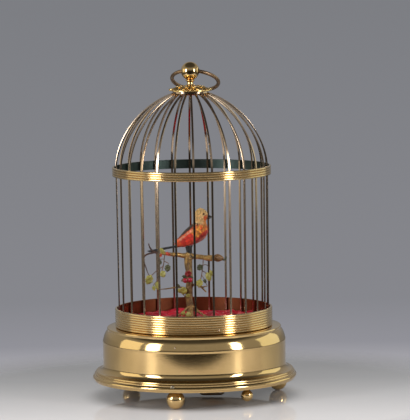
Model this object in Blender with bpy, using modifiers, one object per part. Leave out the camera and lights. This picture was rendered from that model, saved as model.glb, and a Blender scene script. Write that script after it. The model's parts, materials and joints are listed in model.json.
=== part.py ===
"""Singing bird automaton: a bird in a domed brass cage, on a round base that holds its movement.

Metres, +Z up, front towards -Y, origin on the floor under the middle of the base.
Azimuths are in degrees from the front, positive towards +X.
"""
import math

import bmesh
import bpy
from mathutils import Matrix, Vector

MM = 0.001

# Clearances
SEAT = 0.3 * MM           # gap between two faces that touch
RUN = 0.3 * MM            # radial gap of a shaft in its hole

# Base shell
FLANGE_R = 80.0 * MM
WALL_R = 71.6 * MM
TOP_R = 68.5 * MM
LEDGE_R = 54.0 * MM
RIM_Z = 13.9 * MM
DECK_Z = 55.4 * MM
SHEET = 1.2 * MM
FLARE_H = 12.4 * MM
SHOULDER_H = 12.8 * MM
RIM_ROLL_H = 7.6 * MM
RIM_ROLL_W = 3.4 * MM

# Bottom plate, feet and rim screws
PLATE_T = 1.4 * MM
FOOT_R = 7.2 * MM
FOOT_FLAT = 0.3 * MM
FOOT_INSET = 9.2 * MM      # from the bottom plate's edge
FOOT_AZIMUTHS = (-12.5, 107.5, -132.5)
STUD_R = 1.6 * MM
RIM_SCREW_Z = 17.9 * MM
RIM_SCREW_R = 1.2 * MM
RIM_SCREW_HEAD_R = 1.7 * MM
SOUND_CIRCLE = 44.0 * MM
LUG_INSET = 7.0 * MM       # from the bottom plate's edge
LUG_T = 2.4 * MM

# Cage
BAR_COUNT = 26
BAR_PHASE = 1.4
BAR_R = 0.85 * MM
BAR_FOOT_CIRCLE = 58.7 * MM
BAR_CIRCLE = 59.3 * MM
DOME_Z = 180.0 * MM
DOME_H = 60.3 * MM
DOME_POWER = 1.8
COLLAR_R = 14.0 * MM
COLLAR_T = 3.2 * MM
GALLERY_H = 14.6 * MM
GALLERY_WALL = 1.3 * MM
BAND_H = 7.2 * MM
BAND_Z = 173.9 * MM
BAND_WALL = 1.3 * MM
BEAD_H = 1.2 * MM
BEAD_DEPTH = 0.4 * MM

# Crown, finial and ring
CROWN_R = 17.6 * MM
CROWN_T = 1.0 * MM
CROWN_LEAVES = 12
BALL_R = 7.2 * MM
BALL_Z = 255.2 * MM
NECK_R = 2.6 * MM
STEM_FOOT_R = 4.4 * MM
RING_R = 18.3 * MM
RING_WIRE_R = 1.45 * MM
RING_YAW = -14.7
RING_SLOPE = 28.3

# Movement plates and pillars
MOVEMENT_R = 50.0 * MM
LOWER_Z = 20.5 * MM
UPPER_Z = 47.4 * MM
FRAME_T = 1.5 * MM
PILLAR_CIRCLE = 46.0 * MM
PILLAR_ANGLES = (20.0, 160.0, -35.0, -145.0)
PILLAR_R = 2.5 * MM
PILLAR_NECK_R = 1.6 * MM
DECK_T = 1.2 * MM

# Going train: barrel, cam, eccentric and fly arbors
BARREL_AT = (13.3 * MM, -8.0 * MM)
CAM_ANGLE = 216.87
ECCENTRIC_ANGLE = 150.0
FLY_ANGLE = 120.0
GREAT_TEETH = 28
CAM_PINION_LEAVES = 7
CAM_WHEEL_TEETH = 24
SMALL_PINION_LEAVES = 6
THIRD_TEETH = 24
GREAT_MODULE = 1.28 * MM
CAM_MODULE = 0.88 * MM
FLY_MODULE = 0.72 * MM
WHEEL_T = 1.4 * MM
ARBOR_R = 0.8 * MM
BARREL_R = 16.0 * MM
BARREL_H = 11.0 * MM
BARREL_WALL = 1.0 * MM
WINDER_R = 1.6 * MM
HUB_R = 3.6 * MM
SPRING_T = 0.7 * MM
SPRING_TURNS = 4
RATCHET_R = 7.5 * MM
RATCHET_TEETH = 16
FLY_R = 7.0 * MM
FLY_H = 5.0 * MM
CAM_T = 1.2 * MM

# Winding key and start lever
KEY_W = 20.0 * MM
KEY_H = 7.0 * MM
KEY_T = 1.8 * MM
KEY_Z = 1.0 * MM
LEVER_PIVOT = (26.0 * MM, -36.0 * MM)
LEVER_PIN_REACH = 13.0 * MM
KNOB_CIRCLE = 66.5 * MM
KNOB_AZIMUTH = 37.0
KNOB_R = 4.6 * MM
KNOB_Z = 7.5 * MM
STOP_PIVOT = (-8.0 * MM, -36.0 * MM)
STOP_FINGER = (-31.0 * MM, -12.0 * MM)

# Bellows and whistle
CHEST_X = (-32.0 * MM, 16.0 * MM)
CHEST_Y = (24.0 * MM, 31.0 * MM)
CHEST_H = 22.0 * MM
BOARD_T = 1.6 * MM
BOARD_L = 44.0 * MM
BELLOWS_OPEN = 4.6
BELLOWS_HINGE_X = 13.0 * MM
WHISTLE_R = 3.6 * MM
WHISTLE_BORE = 2.6 * MM
WHISTLE_L = 40.0 * MM
WHISTLE_X = -32.0 * MM
WHISTLE_Z = 34.0 * MM
PITCH_PIVOT = (17.0 * MM, 16.0 * MM)

# Perch
POST_X = -3.2 * MM
POST_R = 2.9 * MM
POST_BORE = 1.4 * MM
POST_TOP = 114.4 * MM
LIFT_TUBE_R = 1.1 * MM
LIFT_TUBE_BORE = 0.75 * MM
TURN_ROD_R = 0.45 * MM
LIFT_PIVOT_Y = -12.5 * MM
LIFT_PIVOT_Z = 51.4 * MM

# Bird
HEAD_X = 6.6 * MM
HEAD_R = 5.6 * MM
HEAD_RISE = 6.6 * MM
HEAD_Z = 141.6 * MM
NECK_Z = 135.4 * MM
SPINDLE_R = 1.2 * MM
SPINDLE_BORE = 0.75 * MM
BEAK_WIRE_R = 0.4 * MM
TURN_ARM = 6.9 * MM
TAIL_PIVOT = (-10.4 * MM, 121.2 * MM)
BEAK_PIVOT = (11.0 * MM, 139.6 * MM)
TURN_ARM_Z = 130.2 * MM


def clear_scene():
    for old in list(bpy.data.objects):
        bpy.data.objects.remove(old, do_unlink=True)
    for old in list(bpy.data.meshes):
        bpy.data.meshes.remove(old)


def new_collection(name):
    group = bpy.data.collections.new(name)
    bpy.context.scene.collection.children.link(group)
    return group


clear_scene()
PARTS = new_collection("singing_bird_automaton")


def material(name, colour, roughness, metallic):
    made = bpy.data.materials.new(name)
    made.use_nodes = True
    shader = made.node_tree.nodes["Principled BSDF"]
    shader.inputs["Base Color"].default_value = (*colour, 1.0)
    shader.inputs["Roughness"].default_value = roughness
    shader.inputs["Metallic"].default_value = metallic
    return made


GOLD = material("polished_brass", (0.86, 0.62, 0.24), 0.18, 1.0)
AGED = material("aged_brass", (0.55, 0.40, 0.20), 0.35, 1.0)
PLATE_BRASS = material("movement_brass", (0.78, 0.60, 0.28), 0.4, 1.0)
STEEL = material("blued_steel", (0.35, 0.36, 0.4), 0.3, 1.0)
GILT = material("gilded_branch", (0.8, 0.62, 0.3), 0.45, 1.0)
VELVET = material("crimson_cloth", (0.55, 0.02, 0.05), 0.8, 0.0)
LEAF = material("painted_leaf", (0.45, 0.5, 0.12), 0.5, 0.0)
PETAL = material("painted_flower", (0.7, 0.04, 0.05), 0.5, 0.0)
PLUMAGE = material("orange_plumage", (0.85, 0.25, 0.04), 0.7, 0.0)
CREAM = material("cream_plumage", (0.9, 0.75, 0.4), 0.7, 0.0)
DARK = material("dark_plumage", (0.05, 0.03, 0.03), 0.6, 0.0)
WOOD = material("chest_wood", (0.4, 0.25, 0.13), 0.6, 0.0)
LEATHER = material("bellows_leather", (0.75, 0.68, 0.55), 0.8, 0.0)


def place(azimuth, radius, z=0.0):
    """Point on a circle round the cage axis, its azimuth counted from the front."""
    angle = math.radians(azimuth)
    return Vector((radius * math.sin(angle), -radius * math.cos(angle), z))


def polar(centre, radius, degrees):
    angle = math.radians(degrees)
    return (centre[0] + radius * math.cos(angle), centre[1] + radius * math.sin(angle))


def add_object(name, mesh, finish):
    made = bpy.data.objects.new(name, mesh)
    PARTS.objects.link(made)
    mesh.materials.clear()
    mesh.materials.append(finish)
    return made


def bake(source, finish):
    """The object's evaluated mesh, in world space, in place of its modifiers or its curve."""
    graph = bpy.context.evaluated_depsgraph_get()
    graph.update()
    mesh = bpy.data.meshes.new_from_object(source.evaluated_get(graph))
    mesh.transform(source.matrix_world)
    shape = bmesh.new()
    shape.from_mesh(mesh)
    bmesh.ops.remove_doubles(shape, verts=shape.verts, dist=1e-6)
    bmesh.ops.recalc_face_normals(shape, faces=shape.faces)
    shape.to_mesh(mesh)
    shape.free()
    name = source.name
    bpy.data.objects.remove(source, do_unlink=True)
    return add_object(name, mesh, finish)


def turned(name, profile, finish, steps=32, at=(0.0, 0.0)):
    """A body turned from a closed outline of (radius, height) points."""
    mesh = bpy.data.meshes.new(name)
    points = [(radius, 0.0, z) for radius, z in profile]
    count = len(points)
    mesh.from_pydata(points, [(i, (i + 1) % count) for i in range(count)], [])
    made = add_object(name, mesh, finish)
    screw = made.modifiers.new("turn", "SCREW")
    screw.steps = steps
    screw.render_steps = steps
    screw.use_merge_vertices = True
    screw.merge_threshold = 0.00001
    made.location = (at[0], at[1], 0.0)
    bpy.context.view_layer.update()
    return bake(made, finish)


def solid_turned(name, profile, finish, steps=24, at=(0.0, 0.0)):
    """A body turned from an outline whose first and last points lie on the axis."""
    mesh = bpy.data.meshes.new(name)
    points = [(radius, 0.0, z) for radius, z in profile]
    mesh.from_pydata(points, [(i, i + 1) for i in range(len(points) - 1)], [])
    made = add_object(name, mesh, finish)
    screw = made.modifiers.new("turn", "SCREW")
    screw.steps = steps
    screw.render_steps = steps
    screw.use_merge_vertices = True
    screw.merge_threshold = 0.00001
    made.location = (at[0], at[1], 0.0)
    bpy.context.view_layer.update()
    return bake(made, finish)


def rod(name, radius, z0, z1, finish, at=(0.0, 0.0), sides=10):
    return solid_turned(name, [(0.0, z1), (radius, z1), (radius, z0), (0.0, z0)], finish, sides, at)


def tube(name, outer, inner, z0, z1, finish, at=(0.0, 0.0), sides=16):
    profile = [(outer, z1), (outer, z0), (inner, z0), (inner, z1)]
    return turned(name, profile, finish, sides, at)


def flat(name, outline, z0, thickness, finish, holes=()):
    """A plate cut to an outline in plan, with round or shaped holes, lying from z0 upwards."""
    curve = bpy.data.curves.new(name, "CURVE")
    curve.dimensions = "2D"
    curve.fill_mode = "BOTH"
    curve.extrude = thickness / 2.0
    for points in (outline, *holes):
        spline = curve.splines.new("POLY")
        spline.points.add(len(points) - 1)
        for slot, (x, y) in zip(spline.points, points):
            slot.co = (x, y, 0.0, 1.0)
        spline.use_cyclic_u = True
    made = bpy.data.objects.new(name, curve)
    PARTS.objects.link(made)
    made.location = (0.0, 0.0, z0 + thickness / 2.0)
    bpy.context.view_layer.update()
    return bake(made, finish)


def upright(made, origin, heading=0.0):
    """Stand a flat plate up: its plan X runs along the heading, its plan Y becomes height."""
    turn = Matrix.Translation(origin) @ Matrix.Rotation(math.radians(heading), 4, "Z")
    made.data.transform(turn @ Matrix.Rotation(math.radians(90.0), 4, "X"))
    made.data.update()
    return made


def circle(centre, radius, sides=16, turn=0.0):
    step = math.tau / sides
    return [(centre[0] + radius * math.cos(turn + i * step),
             centre[1] + radius * math.sin(turn + i * step)) for i in range(sides)]


def bar_outline(start, end, width, ends=4):
    """Outline of a straight bar with round ends, between two points in plan."""
    run = Vector((end[0] - start[0], end[1] - start[1]))
    heading = math.atan2(run.y, run.x)
    points = []
    for centre, first in ((end, heading - math.pi / 2), (start, heading + math.pi / 2)):
        for i in range(ends + 1):
            angle = first + math.pi * i / ends
            points.append((centre[0] + width / 2 * math.cos(angle),
                           centre[1] + width / 2 * math.sin(angle)))
    return points


def wire(name, points, radius, finish, sides=2, radii=None):
    """A round wire through the points, closed at its ends."""
    curve = bpy.data.curves.new(name, "CURVE")
    curve.dimensions = "3D"
    curve.bevel_depth = radius
    curve.bevel_resolution = sides
    curve.use_fill_caps = True
    spline = curve.splines.new("POLY")
    spline.points.add(len(points) - 1)
    for i, (slot, point) in enumerate(zip(spline.points, points)):
        slot.co = (*point, 1.0)
        slot.radius = radii[i] if radii else 1.0
    made = bpy.data.objects.new(name, curve)
    PARTS.objects.link(made)
    bpy.context.view_layer.update()
    return bake(made, finish)


def ball(name, centre, radii, finish, rings=8, segments=14):
    mesh = bpy.data.meshes.new(name)
    shape = bmesh.new()
    size = Matrix.Diagonal((*radii, 1.0))
    bmesh.ops.create_uvsphere(shape, u_segments=segments, v_segments=rings, radius=1.0,
                              matrix=Matrix.Translation(centre) @ size)
    shape.to_mesh(mesh)
    shape.free()
    return add_object(name, mesh, finish)


def box(name, low, high, finish):
    mesh = bpy.data.meshes.new(name)
    shape = bmesh.new()
    low = Vector(low)
    high = Vector(high)
    size = Matrix.Diagonal((*(high - low), 1.0))
    bmesh.ops.create_cube(shape, size=1.0, matrix=Matrix.Translation((low + high) / 2.0) @ size)
    shape.to_mesh(mesh)
    shape.free()
    return add_object(name, mesh, finish)


def combine(kind, made, tools):
    """Join tools to a body, or cut them out of it, one after another."""
    for tool in tools:
        step = made.modifiers.new("step", "BOOLEAN")
        step.operation = kind
        step.solver = "EXACT"
        step.object = tool
        made = bake(made, made.data.materials[0])
        bpy.data.objects.remove(tool, do_unlink=True)
    return made


def join(made, *tools):
    return combine("UNION", made, tools)


def cut(made, *tools):
    return combine("DIFFERENCE", made, tools)


def smooth(made, angle=35.0):
    made.data.shade_smooth()
    made.data.set_sharp_from_angle(angle=math.radians(angle))
    return made


def set_origin(made, point):
    """Move the object's origin to its joint's axis, with its shape left in place."""
    made.data.transform(Matrix.Translation(-Vector(point)))
    made.location = point
    return made


def bezier(start, bend, end, count):
    """Points of a quadratic curve, without its last one."""
    found = []
    for i in range(count):
        t = i / count
        found.append(tuple((1 - t) ** 2 * a + 2 * t * (1 - t) * b + t * t * c
                           for a, b, c in zip(start, bend, end)))
    return found


def inside_of(outline, wall):
    """The outline moved inwards by the wall, each point along its own normal, and reversed."""
    moved = []
    last = len(outline) - 1
    for i, (radius, z) in enumerate(outline):
        before = outline[max(i - 1, 0)]
        after = outline[min(i + 1, last)]
        along = Vector((after[0] - before[0], after[1] - before[1])).normalized()
        moved.append((radius + along.y * wall, z - along.x * wall))
    return moved[::-1]


# Base shell and bottom plate
def base_profile():
    """Outer outline of the base, from the inner edge of its ledge down to the rim."""
    shoulder_z = DECK_Z - SHOULDER_H
    flare_z = RIM_Z + FLARE_H
    points = [(LEDGE_R, DECK_Z), (TOP_R - 0.6 * MM, DECK_Z)]
    points += bezier((TOP_R, DECK_Z - 0.6 * MM), (WALL_R - 0.6 * MM, DECK_Z - 0.55 * SHOULDER_H),
                     (WALL_R, shoulder_z), 2)
    points += [(WALL_R, shoulder_z)]
    roll_r = FLANGE_R - RIM_ROLL_W
    roll_z = RIM_Z + RIM_ROLL_H
    foot = (roll_r - 1.5 * MM, roll_z + 0.3 * MM)
    points += bezier((WALL_R, flare_z), (WALL_R + 0.6 * MM, roll_z + 1.2 * MM), foot, 3)
    points += [foot]
    points += bezier((roll_r, roll_z), (FLANGE_R - 0.4 * MM, roll_z - 0.6 * MM),
                     (FLANGE_R, RIM_Z + 2.6 * MM), 2)
    points += [(FLANGE_R, RIM_Z + 2.6 * MM), (FLANGE_R - 0.3 * MM, RIM_Z)]
    return points


def make_base():
    outer = base_profile()
    shell = turned("base_shell", outer + inside_of(outer, SHEET), GOLD, 32)
    holes = [radial_rod("hole", azimuth, FLANGE_R - 8.0 * MM, FLANGE_R + 2.0 * MM, RIM_SCREW_R + RUN,
                        RIM_SCREW_Z, GOLD) for azimuth in FOOT_AZIMUTHS]
    smooth(cut(shell, *holes))


def radial_rod(name, azimuth, inner, outer, radius, z, finish, sides=10):
    made = rod(name, radius, inner, outer, finish, sides=sides)
    turn = Matrix.Rotation(math.radians(azimuth), 4, "Z") @ Matrix.Rotation(math.radians(90.0), 4, "X")
    made.data.transform(Matrix.Translation((0.0, 0.0, z)) @ turn)
    made.data.update()
    return made


PLATE_R = FLANGE_R - SHEET - SEAT - 0.3 * MM
FOOT_CIRCLE = PLATE_R - FOOT_INSET
LUG_R = PLATE_R - LUG_INSET
PLATE_Z = RIM_Z + 0.5 * MM
PLATE_TOP = PLATE_Z + PLATE_T


def make_bottom_plate():
    holes = [circle(place(azimuth, FOOT_CIRCLE), STUD_R + RUN, 8) for azimuth in FOOT_AZIMUTHS]
    holes.append(circle(BARREL_AT, WINDER_R + RUN, 10))
    holes.append(circle(LEVER_PIVOT, STUD_R + RUN, 8))
    holes.append(bar_outline((LEVER_PIVOT[0] - LEVER_PIN_REACH, LEVER_PIVOT[1] + 0.8 * MM),
                             (LEVER_PIVOT[0] - LEVER_PIN_REACH, LEVER_PIVOT[1] - 4.6 * MM), 4.0 * MM))
    holes += [circle(polar((0.0, 0.0), SOUND_CIRCLE, 90.0 + i * 10.0), 2.4 * MM, 7) for i in range(5)]
    plate = flat("bottom_plate", circle((0.0, 0.0), PLATE_R, 32), PLATE_Z, PLATE_T, AGED, holes)
    lugs = []
    for azimuth in FOOT_AZIMUTHS:
        lug = box("lug", (-2.6 * MM, -LUG_R - LUG_T, PLATE_TOP - 0.2 * MM),
                  (2.6 * MM, -LUG_R, RIM_SCREW_Z + 2.2 * MM), AGED)
        lug.data.transform(Matrix.Rotation(math.radians(azimuth), 4, "Z"))
        lug.data.update()
        drill = radial_rod("drill", azimuth, LUG_R - 1.0 * MM, LUG_R + LUG_T + 1.0 * MM, RIM_SCREW_R + RUN,
                           RIM_SCREW_Z, AGED)
        lugs.append(cut(lug, drill))
    join(plate, *lugs)


def make_feet():
    centre_z = FOOT_R - FOOT_FLAT
    for number, azimuth in enumerate(FOOT_AZIMUTHS, 1):
        at = place(azimuth, FOOT_CIRCLE)
        neck_r = 2.6 * MM
        neck_z = centre_z + math.sqrt(FOOT_R ** 2 - neck_r ** 2)
        top = PLATE_Z - SEAT
        profile = [(0.0, PLATE_TOP + 1.2 * MM), (STUD_R, PLATE_TOP + 1.2 * MM), (STUD_R, top),
                   (neck_r, top)]
        start = math.asin((neck_z - centre_z) / FOOT_R)
        end = -math.asin(centre_z / FOOT_R)
        for i in range(8):
            angle = start + (end - start) * i / 7
            profile.append((FOOT_R * math.cos(angle), centre_z + FOOT_R * math.sin(angle)))
        profile[-1] = (profile[-1][0], 0.0)
        profile.append((0.0, 0.0))
        smooth(solid_turned(f"foot_{number}", profile, GOLD, 10, at))


def make_rim_screws():
    seat = FLANGE_R
    for number, azimuth in enumerate(FOOT_AZIMUTHS, 1):
        shank = radial_rod(f"rim_screw_{number}", azimuth, LUG_R + 0.3 * MM, seat + 0.2 * MM,
                           RIM_SCREW_R, RIM_SCREW_Z, AGED, 8)
        head = radial_rod("head", azimuth, seat, seat + 1.0 * MM, RIM_SCREW_HEAD_R, RIM_SCREW_Z, AGED, 12)
        smooth(join(shank, head))


# Gallery and mid band
def beaded_band(name, across, wall, z0, height, finish, steps=28):
    """A rolled band with a bead along each edge, its inside measured across the flats."""
    inner = across / math.cos(math.pi / steps)
    crest = inner + wall
    valley = crest - BEAD_DEPTH
    top = z0 + height
    profile = [(inner, top), (crest, top), (crest, top - BEAD_H), (valley, top - BEAD_H - BEAD_DEPTH),
               (valley, z0 + BEAD_H + BEAD_DEPTH), (crest, z0 + BEAD_H), (crest, z0), (inner, z0)]
    return smooth(turned(name, profile[::-1], finish, steps), 50.0)


def bar_outer(z):
    """Radius of the outside of the bars below the dome."""
    share = min(max((z - DECK_Z) / (DOME_Z - DECK_Z), 0.0), 1.0)
    return BAR_FOOT_CIRCLE + (BAR_CIRCLE - BAR_FOOT_CIRCLE) * share + BAR_R


GALLERY_Z = DECK_Z + SEAT
GALLERY_INNER = bar_outer(DECK_Z + GALLERY_H) + SEAT
BAND_INNER = bar_outer(BAND_Z + BAND_H) + SEAT


def make_bands():
    beaded_band("gallery_band", GALLERY_INNER, GALLERY_WALL, GALLERY_Z, GALLERY_H, GOLD)
    beaded_band("mid_band", BAND_INNER, BAND_WALL, BAND_Z, BAND_H, GOLD)


# Cage bars, joined by the solder collar under the crown
def dome_height(radius):
    """Height above the dome's foot of a bar's centreline at a radius."""
    return DOME_H * (1.0 - (radius / BAR_CIRCLE) ** DOME_POWER) ** (1.0 / DOME_POWER)


BAR_END_R = COLLAR_R - 2.5 * MM
COLLAR_TOP = DOME_Z + dome_height(COLLAR_R - 1.0 * MM) + 2.0 * MM


def bar_path(azimuth):
    points = [place(azimuth, BAR_FOOT_CIRCLE, DECK_Z + SEAT), place(azimuth, BAR_CIRCLE, DOME_Z)]
    arc = 5
    last = math.acos(BAR_END_R / BAR_CIRCLE)
    for i in range(1, arc + 1):
        radius = BAR_CIRCLE * math.cos(last * (0.1 + 0.9 * i / arc))
        points.append(place(azimuth, radius, DOME_Z + dome_height(radius)))
    return points


def make_bars():
    bars = []
    for i in range(BAR_COUNT):
        azimuth = BAR_PHASE + 360.0 * i / BAR_COUNT
        bars.append(wire("bar", bar_path(azimuth), BAR_R, AGED, 0))
    mesh = bpy.data.meshes.new("all_bars")
    shape = bmesh.new()
    for bar in bars:
        shape.from_mesh(bar.data)
        bpy.data.objects.remove(bar, do_unlink=True)
    shape.to_mesh(mesh)
    shape.free()
    all_bars = add_object("all_bars", mesh, AGED)
    hole = STUD_R + RUN
    collar = turned("cage_bars", [(COLLAR_R - 2.0 * MM, COLLAR_TOP), (COLLAR_R, COLLAR_TOP - 0.8 * MM),
                                  (COLLAR_R, COLLAR_TOP - COLLAR_T), (hole, COLLAR_TOP - COLLAR_T),
                                  (hole, COLLAR_TOP)], AGED, 16)
    smooth(join(collar, all_bars), 50.0)


# Crown, finial and hanging ring
CROWN_Z = COLLAR_TOP + SEAT
CROWN_TOP = CROWN_Z + CROWN_T


def make_crown():
    """A rosette of pointed leaves, cut from sheet, with its tips raised."""
    outline = []
    step = 360.0 / CROWN_LEAVES
    for i in range(CROWN_LEAVES):
        for share, reach in ((0.0, 0.80), (0.3, 0.97), (0.7, 0.97)):
            outline.append(polar((0.0, 0.0), CROWN_R * reach, (i + share) * step))
    leaf = flat("crown_plate", outline, CROWN_Z, CROWN_T, AGED, [circle((0.0, 0.0), STUD_R + RUN, 10)])
    boss = tube("boss", 7.5 * MM, STUD_R + RUN, CROWN_Z, CROWN_TOP + 0.8 * MM, AGED, sides=10)
    smooth(join(leaf, boss))


RING_SAG = RING_R - math.sqrt(RING_R ** 2 - BALL_R ** 2)


def ring_axis():
    yaw = math.radians(RING_YAW)
    return Vector((math.cos(yaw), math.sin(yaw), 0.0))


def make_finial():
    foot_z = CROWN_TOP + 0.8 * MM + SEAT
    neck_z = foot_z + 4.2 * MM
    start = math.pi / 2
    end = -math.asin(math.sqrt(1.0 - (NECK_R / BALL_R) ** 2))
    profile = []
    for i in range(7):
        angle = start + (end - start) * i / 6
        profile.append((max(BALL_R * math.cos(angle), 0.0), BALL_Z + BALL_R * math.sin(angle)))
    profile[0] = (0.0, BALL_Z + BALL_R)
    profile += [(NECK_R + 1.0 * MM, BALL_Z - BALL_R + 0.3 * MM),
                (NECK_R + 1.0 * MM, BALL_Z - BALL_R - 0.5 * MM), (NECK_R, BALL_Z - BALL_R - 0.9 * MM),
                (NECK_R, neck_z), (NECK_R + 0.5 * MM, foot_z + 2.0 * MM),
                (STEM_FOOT_R, foot_z + 0.8 * MM), (STEM_FOOT_R, foot_z), (STUD_R, foot_z),
                (STUD_R, COLLAR_TOP - COLLAR_T), (0.0, COLLAR_TOP - COLLAR_T)]
    body = solid_turned("finial", profile, GOLD, 14)
    hole = rod("hole", RING_WIRE_R + RING_SAG / 2 + RUN, -BALL_R * 2, BALL_R * 2, GOLD, sides=10)
    lay = Matrix.Rotation(math.radians(RING_YAW), 4, "Z") @ Matrix.Rotation(math.radians(90.0), 4, "Y")
    hole.data.transform(Matrix.Translation((0.0, 0.0, BALL_Z)) @ lay)
    hole.data.update()
    smooth(cut(body, hole))


def make_ring():
    """The ring leans back: its centre lies behind and below the ball's hole."""
    count = 24
    yaw = math.radians(RING_YAW)
    slope = math.radians(RING_SLOPE)
    back = Vector((-math.sin(yaw), math.cos(yaw), 0.0)) * math.cos(slope) - Vector((0, 0, math.sin(slope)))
    pivot = Vector((0.0, 0.0, BALL_Z))
    centre = pivot + back * (RING_R - RING_SAG / 2)
    normal = ring_axis().cross(back)
    mesh = bpy.data.meshes.new("suspension_ring")
    shape = bmesh.new()
    loops = []
    for i in range(count):
        angle = math.tau * i / count
        out = back * -math.cos(angle) + ring_axis() * math.sin(angle)
        loop = []
        for j in range(6):
            turn = math.tau * j / 6
            offset = out * math.cos(turn) + normal * math.sin(turn)
            loop.append(shape.verts.new(centre + out * RING_R + offset * RING_WIRE_R))
        loops.append(loop)
    for i in range(count):
        here = loops[i]
        there = loops[(i + 1) % count]
        for j in range(6):
            k = (j + 1) % 6
            shape.faces.new((here[j], there[j], there[k], here[k]))
    bmesh.ops.recalc_face_normals(shape, faces=shape.faces)
    shape.to_mesh(mesh)
    shape.free()
    ring = add_object("suspension_ring", mesh, AGED)
    set_origin(smooth(ring), pivot)


# Train centres, each a mesh distance from the last
def cam_centre():
    reach = GREAT_MODULE * (GREAT_TEETH + CAM_PINION_LEAVES) / 2
    return polar(BARREL_AT, reach, CAM_ANGLE)


def third_centre():
    reach = CAM_MODULE * (CAM_WHEEL_TEETH + SMALL_PINION_LEAVES) / 2
    return polar(cam_centre(), reach, ECCENTRIC_ANGLE)


def fly_centre():
    reach = FLY_MODULE * (THIRD_TEETH + SMALL_PINION_LEAVES) / 2
    return polar(third_centre(), reach, FLY_ANGLE)


CAM_AT = cam_centre()
THIRD_AT = third_centre()
FLY_AT = fly_centre()
LOWER_TOP = LOWER_Z + FRAME_T
BARREL_Z = LOWER_TOP + 1.2 * MM
PINION_TOP = BARREL_Z + WHEEL_T + 0.8 * MM
DRUM_Z = BARREL_Z + WHEEL_T
DRUM_TOP = DRUM_Z + BARREL_H
COVER_T = 1.0 * MM
CAM_WHEEL_Z = DRUM_TOP + COVER_T + 1.2 * MM
THIRD_WHEEL_Z = PINION_TOP + 0.8 * MM
FLY_Z = THIRD_WHEEL_Z + WHEEL_T + 1.6 * MM
ECCENTRIC_Z = FLY_Z + FLY_H + 0.8 * MM
ECCENTRIC_T = 2.0 * MM
PITCH_ARM_Z = CAM_WHEEL_Z + WHEEL_T + 0.4 * MM
PITCH_ARM_T = 1.0 * MM
PITCH_CAM_Z = PITCH_ARM_Z + PITCH_ARM_T + 0.4 * MM
LIFT_CAM_Z = PITCH_CAM_Z + CAM_T + 0.6 * MM
TURN_CAM_Z = LIFT_CAM_Z + CAM_T + 0.6 * MM
UPPER_TOP = UPPER_Z + FRAME_T


def gear_outline(centre, teeth, module, towards, on_tooth):
    """Tooth outline; a tooth, or else a space, points in the given direction."""
    pitch_r = module * teeth / 2
    tip = pitch_r + 0.95 * module
    root = pitch_r - 1.25 * module
    step = 360.0 / teeth
    first = towards + (0.0 if on_tooth else step / 2)
    points = []
    for i in range(teeth):
        middle = first + i * step
        for share, radius in ((0.0, tip), (0.28, root), (0.72, root)):
            points.append(polar(centre, radius, middle + share * step))
    return points


def spoke_holes(centre, inner, outer, spokes, arm):
    """Openings between the spokes of a wheel."""
    holes = []
    for i in range(spokes):
        middle = 360.0 * (i + 0.5) / spokes
        half = 180.0 / spokes
        points = []
        for radius, turns in ((outer, (-1.0, 0.0, 1.0)), (inner, (1.0, -1.0))):
            spread = half - math.degrees(arm / radius)
            points += [polar(centre, radius, middle + turn * spread) for turn in turns]
        holes.append(points)
    return holes


def make_arbor(name, at, parts):
    """Join wheels and pinions to a plain arbor that runs through both plates."""
    shaft = rod(name, ARBOR_R, LOWER_Z + 0.1 * MM, UPPER_TOP - 0.1 * MM, STEEL, at, 8)
    return smooth(join(shaft, *parts))


def make_cam_arbor():
    pinion_r = GREAT_MODULE * CAM_PINION_LEAVES / 2
    pinion = flat("pinion", gear_outline(CAM_AT, CAM_PINION_LEAVES, GREAT_MODULE, CAM_ANGLE + 180.0, False),
                  LOWER_TOP + 0.5 * MM, PINION_TOP - LOWER_TOP - 0.5 * MM, STEEL)
    wheel_r = CAM_MODULE * CAM_WHEEL_TEETH / 2
    wheel = flat("wheel", gear_outline(CAM_AT, CAM_WHEEL_TEETH, CAM_MODULE, ECCENTRIC_ANGLE, True),
                 CAM_WHEEL_Z, WHEEL_T, STEEL,
                 spoke_holes(CAM_AT, 3.4 * MM, wheel_r - 2.6 * MM, 4, 0.9 * MM))
    collet = rod("collet", pinion_r * 0.45, PINION_TOP - 0.2 * MM, CAM_WHEEL_Z + 0.2 * MM, STEEL, CAM_AT)
    set_origin(make_arbor("cam_arbor", CAM_AT, (pinion, collet, wheel)), (*CAM_AT, 0.0))


def make_third_arbor():
    pinion_z = CAM_WHEEL_Z - 0.5 * MM
    pinion = flat("pinion", gear_outline(THIRD_AT, SMALL_PINION_LEAVES, CAM_MODULE, ECCENTRIC_ANGLE + 180.0,
                                         False), pinion_z, WHEEL_T + 1.0 * MM, STEEL)
    wheel_r = FLY_MODULE * THIRD_TEETH / 2
    wheel = flat("wheel", gear_outline(THIRD_AT, THIRD_TEETH, FLY_MODULE, FLY_ANGLE, True), THIRD_WHEEL_Z,
                 WHEEL_T, STEEL, spoke_holes(THIRD_AT, 2.6 * MM, wheel_r - 2.0 * MM, 4, 0.8 * MM))
    set_origin(make_arbor("third_arbor", THIRD_AT, (pinion, wheel)), (*THIRD_AT, 0.0))


def make_fly():
    pinion = flat("pinion", gear_outline(FLY_AT, SMALL_PINION_LEAVES, FLY_MODULE, FLY_ANGLE + 180.0, False),
                  THIRD_WHEEL_Z - 0.5 * MM, WHEEL_T + 1.0 * MM, STEEL)
    across = 114.0
    vane = flat("vane", bar_outline(polar(FLY_AT, FLY_R - 0.4 * MM, across),
                                    polar(FLY_AT, FLY_R - 0.4 * MM, across + 180.0), 0.8 * MM, 2),
                FLY_Z, FLY_H, STEEL)
    set_origin(make_arbor("fly", FLY_AT, (pinion, vane)), (*FLY_AT, 0.0))


CAM_BORE = ARBOR_R + RUN


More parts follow.
